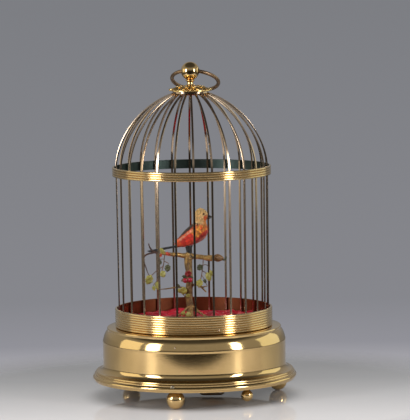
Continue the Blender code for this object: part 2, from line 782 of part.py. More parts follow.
def cam_outline(valley, peak, lobes, towards):
    """A cam whose valley faces the follower, which rests clear of its peaks."""
    points = []
    count = 8 * lobes
    for i in range(count):
        angle = 360.0 * i / count
        lift = (1.0 - math.cos(math.radians((angle - towards) * lobes))) / 2
        points.append(polar(CAM_AT, valley + (peak - valley) * lift, angle))
    return points


def distance(a, b):
    return math.hypot(b[0] - a[0], b[1] - a[1])


def heading(a, b):
    return math.degrees(math.atan2(b[1] - a[1], b[0] - a[0]))


POST_AT = (POST_X, 0.0)
TURN_VALLEY = 3.5 * MM
TURN_PEAK = 6.0 * MM
FOLLOWER_R = 0.7 * MM
TURN_REACH = TURN_PEAK + FOLLOWER_R + RUN
TURN_ACROSS = math.acos(TURN_REACH / distance(CAM_AT, POST_AT))
TURN_SIDE = heading(CAM_AT, POST_AT) + math.degrees(TURN_ACROSS)
TURN_PIN = polar(CAM_AT, TURN_REACH, TURN_SIDE)
LIFT_VALLEY = 6.5 * MM
LIFT_PEAK = 7.0 * MM
LIFT_TOE_Y = CAM_AT[1] - LIFT_PEAK - SEAT
LIFT_TOE_T = 1.6 * MM
PITCH_VALLEY = 2.4 * MM
PITCH_PEAK = 5.0 * MM
PITCH_REACH = PITCH_PEAK + FOLLOWER_R + RUN
PITCH_ACROSS = math.acos(PITCH_REACH / distance(CAM_AT, PITCH_PIVOT))
PITCH_SIDE = heading(CAM_AT, PITCH_PIVOT) - math.degrees(PITCH_ACROSS)
PITCH_PIN = polar(CAM_AT, PITCH_REACH, PITCH_SIDE)
ECCENTRIC_R = 5.0 * MM
ECCENTRIC_THROW = 1.15 * MM


def make_cams():
    for name, z, valley, peak, lobes, towards in (
            ("pitch_cam", PITCH_CAM_Z, PITCH_VALLEY, PITCH_PEAK, 4, PITCH_SIDE),
            ("lift_cam", LIFT_CAM_Z, LIFT_VALLEY, LIFT_PEAK, 5, 270.0),
            ("turn_cam", TURN_CAM_Z, TURN_VALLEY, TURN_PEAK, 3, TURN_SIDE)):
        made = flat(name, cam_outline(valley, peak, lobes, towards), z, CAM_T, PLATE_BRASS,
                    [circle(CAM_AT, CAM_BORE, 8)])
        set_origin(made, (*CAM_AT, 0.0))
    centre = (THIRD_AT[0], THIRD_AT[1] - ECCENTRIC_THROW)
    made = flat("bellows_eccentric", circle(centre, ECCENTRIC_R, 18), ECCENTRIC_Z, ECCENTRIC_T, PLATE_BRASS,
                [circle(THIRD_AT, CAM_BORE, 8)])
    set_origin(made, (*THIRD_AT, 0.0))


# Spring barrel and its winding arbor
def make_barrel():
    teeth = flat("spring_barrel", gear_outline(BARREL_AT, GREAT_TEETH, GREAT_MODULE, CAM_ANGLE, True),
                 BARREL_Z, WHEEL_T, PLATE_BRASS, [circle(BARREL_AT, WINDER_R + RUN, 10)])
    drum = tube("drum", BARREL_R, BARREL_R - BARREL_WALL, DRUM_Z - 0.2 * MM, DRUM_TOP, PLATE_BRASS,
                BARREL_AT, 16)
    made = smooth(join(teeth, drum))
    set_origin(made, (*BARREL_AT, 0.0))
    cover = tube("barrel_cover", BARREL_R, WINDER_R + RUN, DRUM_TOP + SEAT, DRUM_TOP + COVER_T, PLATE_BRASS,
                 BARREL_AT, 16)
    set_origin(smooth(cover), (*BARREL_AT, 0.0))
    points = []
    inner = HUB_R + SEAT
    outer = BARREL_R - BARREL_WALL - 2 * SEAT - SPRING_T
    count = 8 * SPRING_TURNS
    for side in (0.0, SPRING_T):
        row = []
        for i in range(count + 1):
            share = i / count
            row.append(polar(BARREL_AT, inner + (outer - inner) * share + side,
                             360.0 * SPRING_TURNS * share))
        points += row if side == 0.0 else row[::-1]
    spring = flat("mainspring", points, DRUM_Z + SEAT, BARREL_H - 2 * SEAT, STEEL)
    set_origin(spring, (*BARREL_AT, 0.0))


ARBOR_LOW = PLATE_Z - 5.0 * MM
RATCHET_Z = LOWER_Z - 2.4 * MM
RATCHET_T = 1.4 * MM


def make_winding():
    shaft = rod("winding_arbor", WINDER_R, ARBOR_LOW, UPPER_TOP - 0.1 * MM, STEEL, BARREL_AT, 10)
    hub = rod("hub", HUB_R, DRUM_Z + SEAT, DRUM_TOP - 0.1 * MM, STEEL, BARREL_AT, 12)
    set_origin(smooth(join(shaft, hub)), (*BARREL_AT, 0.0))
    outline = []
    step = 360.0 / RATCHET_TEETH
    for i in range(RATCHET_TEETH):
        outline.append(polar(BARREL_AT, RATCHET_R, i * step))
        outline.append(polar(BARREL_AT, RATCHET_R - 1.3 * MM, (i + 0.12) * step))
    wheel = flat("ratchet_wheel", outline, RATCHET_Z, RATCHET_T, STEEL,
                 [circle(BARREL_AT, WINDER_R + RUN, 10)])
    set_origin(wheel, (*BARREL_AT, 0.0))


CLICK_PIVOT = (BARREL_AT[0] + 3.6 * MM, BARREL_AT[1] + 12.4 * MM)


def make_click():
    tip = polar(BARREL_AT, RATCHET_R + 0.8 * MM, 3.35 * 360.0 / RATCHET_TEETH)
    arm = flat("click", bar_outline(CLICK_PIVOT, (tip[0] + 0.35 * MM, tip[1] + 0.3 * MM), 1.2 * MM, 4),
               RATCHET_Z, RATCHET_T, STEEL)
    boss = rod("boss", 1.6 * MM, RATCHET_Z, RATCHET_Z + RATCHET_T, STEEL, CLICK_PIVOT)
    pin = rod("pin", ARBOR_R, RATCHET_Z - 0.4 * MM, LOWER_TOP - 0.1 * MM, STEEL, CLICK_PIVOT)
    set_origin(smooth(join(arm, boss, pin)), (*CLICK_PIVOT, 0.0))
    start = (CLICK_PIVOT[0] + 2.2 * MM, CLICK_PIVOT[1] - 3.4 * MM)
    end = (start[0] + 8.0 * MM, start[1] + 5.0 * MM)
    strip = flat("click_spring", bar_outline(start, end, 0.5 * MM, 2), RATCHET_Z, RATCHET_T, STEEL)
    foot = rod("foot", 1.2 * MM, RATCHET_Z, LOWER_Z - SEAT, STEEL, end)
    join(strip, foot)


def make_key():
    half = KEY_W / 2 - KEY_H / 2
    bow = flat("winding_key", bar_outline((-half, 0.0), (half, 0.0), KEY_H, 6), 0.0, KEY_T, AGED,
               [circle((-half, 0.0), 1.8 * MM, 8), circle((half, 0.0), 1.8 * MM, 8)])
    upright(bow, (BARREL_AT[0], BARREL_AT[1] + KEY_T / 2, KEY_Z + KEY_H / 2))
    socket_r = WINDER_R + RUN + 1.2 * MM
    neck_z = KEY_Z + KEY_H - 1.5 * MM
    top = PLATE_Z - 0.8 * MM
    socket = solid_turned("socket", [(0.0, ARBOR_LOW - SEAT), (WINDER_R + RUN, ARBOR_LOW - SEAT),
                                     (WINDER_R + RUN, top), (socket_r, top),
                                     (socket_r, ARBOR_LOW - 1.2 * MM),
                                     (1.4 * MM, neck_z), (0.0, neck_z)], AGED, 10, BARREL_AT)
    set_origin(smooth(join(bow, socket)), (*BARREL_AT, 0.0))


# Start lever and the stop arm that it moves
LEVER_Z = PLATE_Z - 2.2 * MM
LEVER_T = 1.2 * MM
STOP_Z = PLATE_TOP + 1.2 * MM
STOP_T = 1.2 * MM


def make_start_lever():
    knob = place(KNOB_AZIMUTH, KNOB_CIRCLE)
    pin = (LEVER_PIVOT[0] - LEVER_PIN_REACH, LEVER_PIVOT[1])
    arm = flat("start_lever", bar_outline(LEVER_PIVOT, (knob.x, knob.y), 4.0 * MM), LEVER_Z, LEVER_T, AGED)
    tail = flat("tail", bar_outline(pin, LEVER_PIVOT, 3.6 * MM), LEVER_Z, LEVER_T, AGED)
    finger = rod("finger", 0.8 * MM, LEVER_Z + 0.2 * MM, STOP_Z + STOP_T, AGED, pin, 8)
    stud = rod("stud", STUD_R, LEVER_Z + 0.2 * MM, PLATE_TOP + 0.8 * MM, AGED, LEVER_PIVOT, 8)
    grip = ball("grip", (knob.x, knob.y, KNOB_Z), (KNOB_R, KNOB_R, KNOB_R), GOLD, 6, 10)
    neck = rod("neck", 1.4 * MM, KNOB_Z + KNOB_R - 1.0 * MM, LEVER_Z + 0.4 * MM, GOLD, (knob.x, knob.y), 6)
    made = smooth(join(arm, tail, finger, stud, neck, grip))
    set_origin(made, (*LEVER_PIVOT, 0.0))


def make_stop_arm():
    """A two-armed lever: its fork takes the start lever's pin, its finger blocks the fly."""
    tail_end = (LEVER_PIVOT[0] - LEVER_PIN_REACH, STOP_PIVOT[1])
    fork = bar_outline((tail_end[0] - 1.8 * MM, tail_end[1]), (tail_end[0] + 0.6 * MM, tail_end[1]),
                       2.5 * MM)
    eye_end = (tail_end[0] + 1.2 * MM, tail_end[1])
    tail = flat("stop_arm", bar_outline(STOP_PIVOT, eye_end, 5.4 * MM), STOP_Z, STOP_T, STEEL, [fork])
    arm = flat("arm", bar_outline(STOP_PIVOT, STOP_FINGER, 2.6 * MM), STOP_Z, STOP_T, STEEL)
    finger = rod("finger", 0.7 * MM, STOP_Z + 0.2 * MM, FLY_Z + FLY_H - 1.0 * MM, STEEL, STOP_FINGER, 8)
    pivot = rod("pivot", ARBOR_R, STOP_Z + 0.2 * MM, LOWER_TOP - 0.1 * MM, STEEL, STOP_PIVOT)
    set_origin(smooth(join(tail, arm, finger, pivot)), (*STOP_PIVOT, 0.0))


# Movement plates, pillars and deck
EAR_X = POST_X + 1.5 * MM
EAR_T = 1.4 * MM


def make_plates():
    pillars = [polar((0.0, 0.0), PILLAR_CIRCLE, angle) for angle in PILLAR_ANGLES]
    posts = [circle(at, PILLAR_NECK_R + RUN, 8) for at in pillars]
    pivots = [circle(at, ARBOR_R + RUN, 8) for at in (CAM_AT, THIRD_AT, FLY_AT, PITCH_PIVOT)]
    slot = bar_outline(STOP_FINGER, (STOP_FINGER[0] + 4.6 * MM, STOP_FINGER[1] + 4.4 * MM), 3.4 * MM)
    low = [circle(BARREL_AT, WINDER_R + RUN, 10), slot, circle(STOP_PIVOT, ARBOR_R + RUN, 8),
           circle(CLICK_PIVOT, ARBOR_R + RUN, 8)]
    flat("lower_plate", circle((0.0, 0.0), MOVEMENT_R, 28), LOWER_Z, FRAME_T, PLATE_BRASS,
         posts + pivots + low)
    arm_slot = bar_outline((POST_X, LIFT_TOE_Y - LIFT_TOE_T - 0.4 * MM), (POST_X, LIFT_TOE_Y + 0.8 * MM),
                           3.4 * MM)
    high = [circle(BARREL_AT, WINDER_R + RUN, 10), circle(TURN_PIN, 4.2 * MM, 10), arm_slot]
    top = flat("upper_plate", circle((0.0, 0.0), MOVEMENT_R, 28), UPPER_Z, FRAME_T, PLATE_BRASS,
               posts + pivots + high)
    rise = LIFT_PIVOT_Z - UPPER_TOP
    ear = flat("ear", [(-2.2 * MM, 0.0), (2.2 * MM, 0.0), (2.2 * MM, rise), (0.8 * MM, rise + 1.8 * MM),
                       (-0.8 * MM, rise + 1.8 * MM), (-2.2 * MM, rise)], 0.0, EAR_T, PLATE_BRASS,
               [circle((0.0, rise + 0.1 * MM), ARBOR_R + RUN, 10)])
    upright(ear, (EAR_X, LIFT_PIVOT_Y, UPPER_TOP - 0.1 * MM), 90.0)
    join(top, ear)
    for number, at in enumerate(pillars, 1):
        neck = PILLAR_NECK_R
        profile = [(0.0, DECK_Z), (PILLAR_R, DECK_Z), (PILLAR_R, UPPER_TOP + SEAT),
                   (neck, UPPER_TOP + SEAT),
                   (neck, UPPER_Z - SEAT), (PILLAR_R, UPPER_Z - SEAT), (PILLAR_R, LOWER_TOP + SEAT),
                   (neck, LOWER_TOP + SEAT), (neck, LOWER_Z - SEAT), (PILLAR_R, LOWER_Z - SEAT),
                   (PILLAR_R, PLATE_TOP + SEAT), (0.0, PLATE_TOP + SEAT)]
        smooth(solid_turned(f"pillar_{number}", profile, PLATE_BRASS, 8, at))


DECK_PLATE_Z = DECK_Z + SEAT
DECK_TOP = DECK_PLATE_Z + DECK_T
DECK_R = BAR_FOOT_CIRCLE - BAR_R - SEAT


def make_deck():
    flat("deck_plate", circle((0.0, 0.0), DECK_R, 32), DECK_PLATE_Z, DECK_T, AGED,
         [circle(POST_AT, LIFT_TUBE_R + RUN, 12)])


# Floor cloth
CLOTH_HOLE_R = 6.0 * MM
CLOTH_MIN = 2.2 * MM
CLOTH_FOLD = 6.0 * MM


def cloth_height(x, y):
    """Height of the crushed cloth's folds above the deck."""
    u = x / (10.0 * MM)
    v = y / (10.0 * MM)
    fold = math.sin(1.1 * u + 0.9 * math.sin(0.8 * v)) * math.cos(0.7 * v - 0.6 * math.sin(0.9 * u))
    fold += 0.55 * math.sin(1.9 * v + 1.4 * math.cos(0.7 * u) + 0.8)
    fold += 0.35 * math.sin(2.3 * u - 1.2 * v)
    return CLOTH_MIN + CLOTH_FOLD * (0.5 + 0.5 * math.tanh(fold))


def make_cloth():
    rings = 7
    segments = 30
    edge = DECK_R - SEAT
    mesh = bpy.data.meshes.new("floor_cloth")
    shape = bmesh.new()
    rows = []
    for i in range(rings + 1):
        share = i / rings
        row = []
        for j in range(segments):
            angle = math.tau * j / segments
            near = Vector((POST_X + CLOTH_HOLE_R * math.cos(angle), CLOTH_HOLE_R * math.sin(angle), 0.0))
            far = Vector((edge * math.cos(angle), edge * math.sin(angle), 0.0))
            point = near.lerp(far, share)
            lift = cloth_height(point.x, point.y) if i < rings else CLOTH_MIN
            row.append(shape.verts.new((point.x, point.y, DECK_TOP + SEAT + lift)))
        rows.append(row)
    for upper in (rows[0], rows[-1]):
        rows.append([shape.verts.new((v.co.x, v.co.y, DECK_TOP + SEAT)) for v in upper])
    for a, b in [(rows[i], rows[i + 1]) for i in range(rings)] + [
            (rows[rings], rows[rings + 2]), (rows[rings + 2], rows[rings + 1]), (rows[rings + 1], rows[0])]:
        for j in range(segments):
            k = (j + 1) % segments
            shape.faces.new((a[j], b[j], b[k], a[k]))
    bmesh.ops.recalc_face_normals(shape, faces=shape.faces)
    shape.to_mesh(mesh)
    shape.free()
    add_object("floor_cloth", mesh, VELVET)


# Wind chest, bellows and whistle
CHEST_Z = LOWER_TOP + SEAT
WHISTLE_Y = CHEST_Y[1] + SEAT + WHISTLE_R
BELLOWS_HINGE = (BELLOWS_HINGE_X, CHEST_Y[0] - SEAT - BOARD_T / 2 - 1.4 * MM)


def make_bellows():
    chest = box("wind_chest", (CHEST_X[0], CHEST_Y[0], CHEST_Z),
                (CHEST_X[1], CHEST_Y[1], CHEST_Z + CHEST_H), WOOD)
    duct = rod("duct", 1.2 * MM, CHEST_Y[0] - 1.0 * MM, CHEST_Y[1] + 1.0 * MM, WOOD, sides=8)
    duct.data.transform(Matrix.Translation((WHISTLE_X + 10.0 * MM, 0.0, WHISTLE_Z)) @
                        Matrix.Rotation(math.radians(-90.0), 4, "X"))
    duct.data.update()
    cut(chest, duct)
    swing = 180.0 + BELLOWS_OPEN
    free = polar(BELLOWS_HINGE, BOARD_L, swing)
    board = flat("bellows_board", bar_outline(BELLOWS_HINGE, free, BOARD_T), CHEST_Z + 1.0 * MM,
                 CHEST_H - 2.0 * MM, WOOD)
    reach = (THIRD_AT[0] - BELLOWS_HINGE[0]) / math.cos(math.radians(swing))
    root = polar(BELLOWS_HINGE, reach, swing)
    shoe_y = THIRD_AT[1] + ECCENTRIC_R + ECCENTRIC_THROW + SEAT
    arm = flat("arm", [(THIRD_AT[0] - 1.2 * MM, shoe_y + 0.6 * MM), (THIRD_AT[0] + 1.2 * MM,
                                                                     shoe_y + 0.6 * MM),
                       (root[0] + 1.2 * MM, root[1]), (root[0] - 1.2 * MM, root[1])],
               ECCENTRIC_Z, ECCENTRIC_T, STEEL)
    shoe = flat("shoe", [(THIRD_AT[0] - 4.0 * MM, shoe_y), (THIRD_AT[0] + 4.0 * MM, shoe_y),
                         (THIRD_AT[0] + 4.0 * MM, shoe_y + 1.2 * MM), (THIRD_AT[0] - 4.0 * MM,
                                                                       shoe_y + 1.2 * MM)],
                ECCENTRIC_Z, ECCENTRIC_T, STEEL)
    set_origin(join(board, arm, shoe), (*BELLOWS_HINGE, 0.0))
    chest_face = CHEST_Y[0] - SEAT
    half = BOARD_T / 2 + SEAT
    near = polar(BELLOWS_HINGE, 5.0 * MM, swing)
    far = polar(BELLOWS_HINGE, BOARD_L - 1.0 * MM, swing)
    flat("bellows_leather", [(near[0], near[1] + half), (near[0], chest_face), (far[0], chest_face),
                             (far[0], far[1] + half)], CHEST_Z + 1.6 * MM, CHEST_H - 3.2 * MM, LEATHER)


def along_x(name, profile, finish, steps, y, z):
    """A turned body laid along X: profile heights become X places."""
    made = turned(name, profile, finish, steps)
    made.data.transform(Matrix.Translation((0.0, y, z)) @ Matrix.Rotation(math.radians(90.0), 4, "Y"))
    made.data.update()
    return made


PISTON_REST = WHISTLE_X + 22.0 * MM
PISTON_END = WHISTLE_X + WHISTLE_L + 14.0 * MM
PISTON_R = WHISTLE_BORE - RUN


def make_whistle():
    end = WHISTLE_X + WHISTLE_L
    body = along_x("whistle_tube", [(WHISTLE_R, end), (WHISTLE_R, WHISTLE_X), (WHISTLE_BORE, WHISTLE_X),
                                    (WHISTLE_BORE, end)], PLATE_BRASS, 16, WHISTLE_Y, WHISTLE_Z)
    mouth = box("mouth", (WHISTLE_X + 6.0 * MM, WHISTLE_Y - 1.6 * MM, WHISTLE_Z + 1.4 * MM),
                (WHISTLE_X + 9.0 * MM, WHISTLE_Y + 1.6 * MM, WHISTLE_Z + 5.0 * MM), PLATE_BRASS)
    port = rod("port", 1.2 * MM, WHISTLE_Y - WHISTLE_R - 1.0 * MM, WHISTLE_Y, PLATE_BRASS, sides=8)
    port.data.transform(Matrix.Translation((WHISTLE_X + 10.0 * MM, 0.0, WHISTLE_Z)) @
                        Matrix.Rotation(math.radians(-90.0), 4, "X"))
    port.data.update()
    smooth(cut(body, mouth, port))
    piston = solid_turned("whistle_piston", [(0.0, PISTON_END), (0.9 * MM, PISTON_END),
                                             (0.9 * MM, PISTON_REST + 5.0 * MM),
                                             (PISTON_R, PISTON_REST + 5.0 * MM), (PISTON_R, PISTON_REST),
                                             (0.0, PISTON_REST)], STEEL, 12)
    piston.data.transform(Matrix.Translation((0.0, WHISTLE_Y, WHISTLE_Z)) @
                          Matrix.Rotation(math.radians(90.0), 4, "Y"))
    piston.data.update()
    smooth(piston)


def make_pitch_lever():
    arm = flat("pitch_lever", bar_outline(PITCH_PIVOT, PITCH_PIN, 2.0 * MM), PITCH_ARM_Z, PITCH_ARM_T,
               STEEL)
    tip = rod("tip", FOLLOWER_R, PITCH_ARM_Z + 0.2 * MM, PITCH_CAM_Z + CAM_T, STEEL, PITCH_PIN, 8)
    shaft = rod("shaft", ARBOR_R, LOWER_Z + 0.1 * MM, UPPER_TOP - 0.1 * MM, STEEL, PITCH_PIVOT, 10)
    end = (PISTON_END + SEAT + 1.8 * MM, WHISTLE_Y)
    push = flat("push", bar_outline(PITCH_PIVOT, end, 2.2 * MM), WHISTLE_Z - 0.8 * MM, 1.6 * MM, STEEL)
    set_origin(smooth(join(arm, tip, shaft, push)), (*PITCH_PIVOT, 0.0))


# Perch with its branch and twigs
def make_perch():
    foot = DECK_TOP + SEAT
    wobble = 0.5 * MM
    path = []
    radii = []
    steps = 10
    for i in range(steps + 1):
        share = i / steps
        sway = wobble * math.sin(5.0 * share)
        path.append((POST_X + sway, wobble * math.cos(4.0 * share) - wobble,
                     foot + (POST_TOP - foot) * share))
        radii.append(1.0 + 0.12 * math.sin(11.0 * share) + 0.55 * max(0.0, 1.0 - 7.0 * share))
    trunk = wire("perch", path, POST_R, GILT, 1, radii)
    branch_z = POST_TOP - 5.4 * MM
    branch = wire("branch", [(-25.6 * MM, -5.4 * MM, 113.0 * MM), (-19.0 * MM, -4.8 * MM, 112.0 * MM),
                             (-11.0 * MM, -2.6 * MM, 110.4 * MM), (POST_X, 0.0, branch_z),
                             (5.0 * MM, 0.3 * MM, 108.4 * MM), (12.0 * MM, 0.0, 108.0 * MM),
                             (20.0 * MM, -0.4 * MM, 108.3 * MM)], 1.7 * MM, GILT, 1,
                  [0.8, 0.95, 1.1, 1.5, 1.15, 1.25, 1.0])
    knot = ball("knot", (14.6 * MM, 0.0, 108.6 * MM), (3.0 * MM, 2.6 * MM, 2.5 * MM), GILT, 5, 8)
    low_left = wire("low_left", [(POST_X, 0.0, 83.0 * MM), (-10.0 * MM, -1.0 * MM, 86.2 * MM),
                                 (-16.5 * MM, -1.4 * MM, 85.6 * MM), (-25.9 * MM, -1.0 * MM, 84.3 * MM)],
                    0.8 * MM, GILT, 1)
    low_right = wire("low_right", [(POST_X, 0.0, 85.0 * MM), (1.0 * MM, -1.0 * MM, 88.6 * MM),
                                   (5.5 * MM, -1.4 * MM, 87.1 * MM), (10.1 * MM, -1.0 * MM, 81.6 * MM)],
                     0.8 * MM, GILT, 1)
    made = join(trunk, branch, knot, low_left, low_right)
    bore = rod("bore", POST_BORE, foot - 2.0 * MM, POST_TOP + 2.0 * MM, GILT, POST_AT, 12)
    smooth(cut(made, bore), 60.0)
    tall = wire("left_twig", [(-26.3 * MM, -5.8 * MM, 113.2 * MM), (-31.0 * MM, -6.4 * MM, 115.4 * MM),
                              (-34.5 * MM, -7.0 * MM, 121.5 * MM)], 0.9 * MM, GILT, 1, [1.2, 1.0, 0.7])
    droop = wire("droop", [(-30.2 * MM, -6.3 * MM, 114.8 * MM), (-38.4 * MM, -6.8 * MM, 112.4 * MM),
                           (-38.0 * MM, -6.6 * MM, 105.0 * MM), (-35.9 * MM, -6.4 * MM, 99.4 * MM)],
                 0.8 * MM, GILT, 1)
    smooth(join(tall, droop))


# Leaves and flowers
def leaf_blade(name, tip, root, width, finish, tilt=0.0):
    """A pointed leaf with a raised midrib, from its root to its tip."""
    root = Vector(root)
    tip = Vector(tip)
    run = tip - root
    side = run.cross(Vector((math.sin(tilt), math.cos(tilt), 0.0))).normalized()
    face = run.cross(side).normalized()
    thick = 0.45 * MM
    shape = bmesh.new()
    rows = []
    for share, spread in ((0.0, 0.25), (0.35, 0.95), (0.7, 0.75)):
        spine = root + run * share + face * (run.length * 0.12 * math.sin(math.pi * share))
        row = []
        for across, lift in ((-1.0, 0.0), (0.0, 0.5 * MM), (1.0, 0.0)):
            row.append(shape.verts.new(spine + side * (across * spread * width / 2) + face * (lift + thick)))
        for across, lift in ((1.0, 0.0), (0.0, 0.5 * MM), (-1.0, 0.0)):
            row.append(shape.verts.new(spine + side * (across * spread * width / 2) + face * lift))
        rows.append(row)
    end = shape.verts.new(tip)
    for a, b in zip(rows, rows[1:]):
        for j in range(6):
            k = (j + 1) % 6
            shape.faces.new((a[j], b[j], b[k], a[k]))
    for j in range(6):
        shape.faces.new((rows[-1][j], end, rows[-1][(j + 1) % 6]))
    shape.faces.new(rows[0])
    bmesh.ops.recalc_face_normals(shape, faces=shape.faces)
    mesh = bpy.data.meshes.new(name)
    shape.to_mesh(mesh)
    shape.free()
    return add_object(name, mesh, finish)


def spray(name, stems, leaves, finish):
    """Wire stems with leaves joined to them."""
    made = None
    for points in stems:
        stem = wire(name if made is None else "stem", [tuple(c * MM for c in p) for p in points], 0.45 * MM,
                    finish, 1)
        made = stem if made is None else join(made, stem)
    for root, tip, width, tilt in leaves:
        blade = leaf_blade("blade", tuple(c * MM for c in tip), tuple(c * MM for c in root), width * MM,
                           finish, tilt)
        made = join(made, blade)
    return made


def make_foliage():
    spray("left_spray", [[(-22.0, -5.2, 110.6), (-23.0, -5.6, 104.0), (-25.0, -5.4, 97.0),
                          (-29.0, -5.0, 90.6)],
                         [(-23.3, -5.6, 103.0), (-29.5, -4.8, 99.0), (-33.4, -4.4, 95.0)],
                         [(-22.6, -5.4, 106.6), (-19.0, -5.6, 105.0)]],
          [((-28.6, -5.0, 91.2), (-27.0, -5.4, 84.0), 5.5, 0.2),
           ((-33.0, -4.4, 95.4), (-35.8, -4.4, 89.4), 5.0, -0.3),
           ((-24.8, -5.4, 98.2), (-21.4, -6.4, 95.4), 4.6, 0.4),
           ((-19.3, -5.6, 105.2), (-20.4, -6.2, 98.8), 5.4, 0.1)],
          LEAF)
    spray("right_spray", [[(8.0, -1.7, 106.4), (7.4, -3.8, 101.0), (6.4, -4.0, 94.0), (5.2, -4.0, 90.6)],
                          [(7.0, -3.9, 98.4), (10.6, -3.4, 96.6)]],
          [((7.5, -3.5, 102.6), (3.6, -4.4, 99.4), 5.0, 0.3),
           ((10.3, -3.2, 96.8), (13.0, -3.2, 90.6), 5.2, -0.2),
           ((5.5, -3.9, 91.8), (4.5, -4.3, 85.6), 4.8, 0.22)], LEAF)
    spray("low_spray", [[(-5.9, -1.8, 77.6), (-8.4, -2.8, 79.6)]],
          [((-8.2, -2.6, 79.2), (-7.6, -4.2, 86.0), 5.4, 0.1)], LEAF)
    spray("ground_leaf", [[(-7.4, -4.2, 62.7), (-6.4, -5.2, 65.6)]],
          [((-6.7, -4.9, 65.0), (-1.0, -6.6, 63.7), 5.0, 0.2)], LEAF)
    flower = spray("flower_spray", [[(-3.6, -4.4, 104.4), (-3.8, -5.4, 99.0), (-4.0, -5.4, 94.6),
                                     (-6.0, -5.4, 92.4)], [(-4.0, -5.4, 95.0), (-2.6, -5.6, 92.4)]], [],
                   PETAL)
    for x, z in ((-6.2, 91.6), (-2.7, 92.0)):
        flower = join(flower, ball("berry", (x * MM, -5.5 * MM, z * MM), (1.1 * MM, 1.1 * MM, 1.1 * MM),
                                   PETAL, 5, 7))
    petals = []
    for i in range(5):
        for share, reach in ((-0.3, 3.2), (0.0, 3.7), (0.3, 3.2), (0.5, 1.4)):
            petals.append(polar((0.0, 0.0), reach * MM, 90.0 + 72.0 * (i + share)))
    blossom = upright(flat("blossom", petals, 0.0, 1.2 * MM, PETAL), (-3.8 * MM, -5.0 * MM, 97.0 * MM))
    smooth(join(flower, blossom), 60.0)


# Bird
def loft(name, stations, finish, sides=12):
    """A rounded body through stations of (centre, half depth, half width), closed at both ends."""
    shape = bmesh.new()
    rows = []
    count = len(stations)
    for i, (centre, depth, width) in enumerate(stations):
        before = Vector(stations[max(i - 1, 0)][0])
        after = Vector(stations[min(i + 1, count - 1)][0])
        run = (after - before).normalized()
        up = run.cross(Vector((0.0, 1.0, 0.0))).normalized()
        row = []
        for j in range(sides):
            angle = math.tau * j / sides
            row.append(shape.verts.new(Vector(centre) + up * (depth * math.cos(angle)) +
                                       Vector((0.0, width * math.sin(angle), 0.0))))
        rows.append(row)
    for a, b in zip(rows, rows[1:]):
        for j in range(sides):
            k = (j + 1) % sides
            shape.faces.new((a[j], b[j], b[k], a[k]))
    shape.faces.new(rows[0][::-1])
    shape.faces.new(rows[-1])
    bmesh.ops.recalc_face_normals(shape, faces=shape.faces)
    mesh = bpy.data.meshes.new(name)
    shape.to_mesh(mesh)
    shape.free()
    return add_object(name, mesh, finish)


BODY_STATIONS = (
    ((-13.6 * MM, 0.0, 119.2 * MM), 1.9 * MM, 2.6 * MM),
    ((-10.6 * MM, 0.0, 121.0 * MM), 3.7 * MM, 4.4 * MM),
    ((-6.4 * MM, 0.0, 123.4 * MM), 5.6 * MM, 6.0 * MM),
    ((-1.4 * MM, 0.0, 126.6 * MM), 7.2 * MM, 7.4 * MM),
    ((4.0 * MM, 0.0, 130.4 * MM), 7.9 * MM, 7.6 * MM),
    ((6.2 * MM, 0.0, 135.6 * MM), 5.9 * MM, 5.8 * MM),
)
SLEEVE_R = 2.5 * MM
TURN_ARM_T = 1.0 * MM
HEAD_ARM = HEAD_X - POST_X - TURN_ARM
BELLY_Z = POST_TOP + SEAT


def make_bird_body():
    body = loft("bird_body", BODY_STATIONS, PLUMAGE, 12)
    legs = rod("legs", SLEEVE_R, BELLY_Z, 124.0 * MM, PLUMAGE, POST_AT, 10)
    body = join(body, legs)
    bore = rod("bore", LIFT_TUBE_R + RUN, BELLY_Z - 2.0 * MM, 132.8 * MM, PLUMAGE, POST_AT, 10)
    neck_cap = box("neck_cap", (-4.0 * MM, -12.0 * MM, NECK_Z), (20.0 * MM, 12.0 * MM, 160.0 * MM), PLUMAGE)
    spindle = rod("spindle", SPINDLE_R + RUN, 127.0 * MM, NECK_Z + 4.0 * MM, PLUMAGE, (HEAD_X, 0.0), 10)
    run = Vector((HEAD_X + 1.6 * MM - TAIL_PIVOT[0], 0.0, 128.0 * MM - TAIL_PIVOT[1]))
    lift = math.atan2(run.z, run.x)
    tunnel = box("tunnel", (-6.5 * MM, -2.0 * MM, -2.3 * MM), (run.length, 2.0 * MM, 2.1 * MM), PLUMAGE)
    tunnel.data.transform(Matrix.Translation((TAIL_PIVOT[0], 0.0, TAIL_PIVOT[1])) @
                          Matrix.Rotation(-lift, 4, "Y"))
    tunnel.data.update()
    pocket = box("pocket", (POST_X - 1.6 * MM, -2.9 * MM, TURN_ARM_Z - 0.5 * MM),
                 (HEAD_X + 1.9 * MM, 2.9 * MM, TURN_ARM_Z + TURN_ARM_T + 0.5 * MM), PLUMAGE)
    smooth(cut(body, neck_cap, bore, spindle, tunnel, pocket), 50.0)


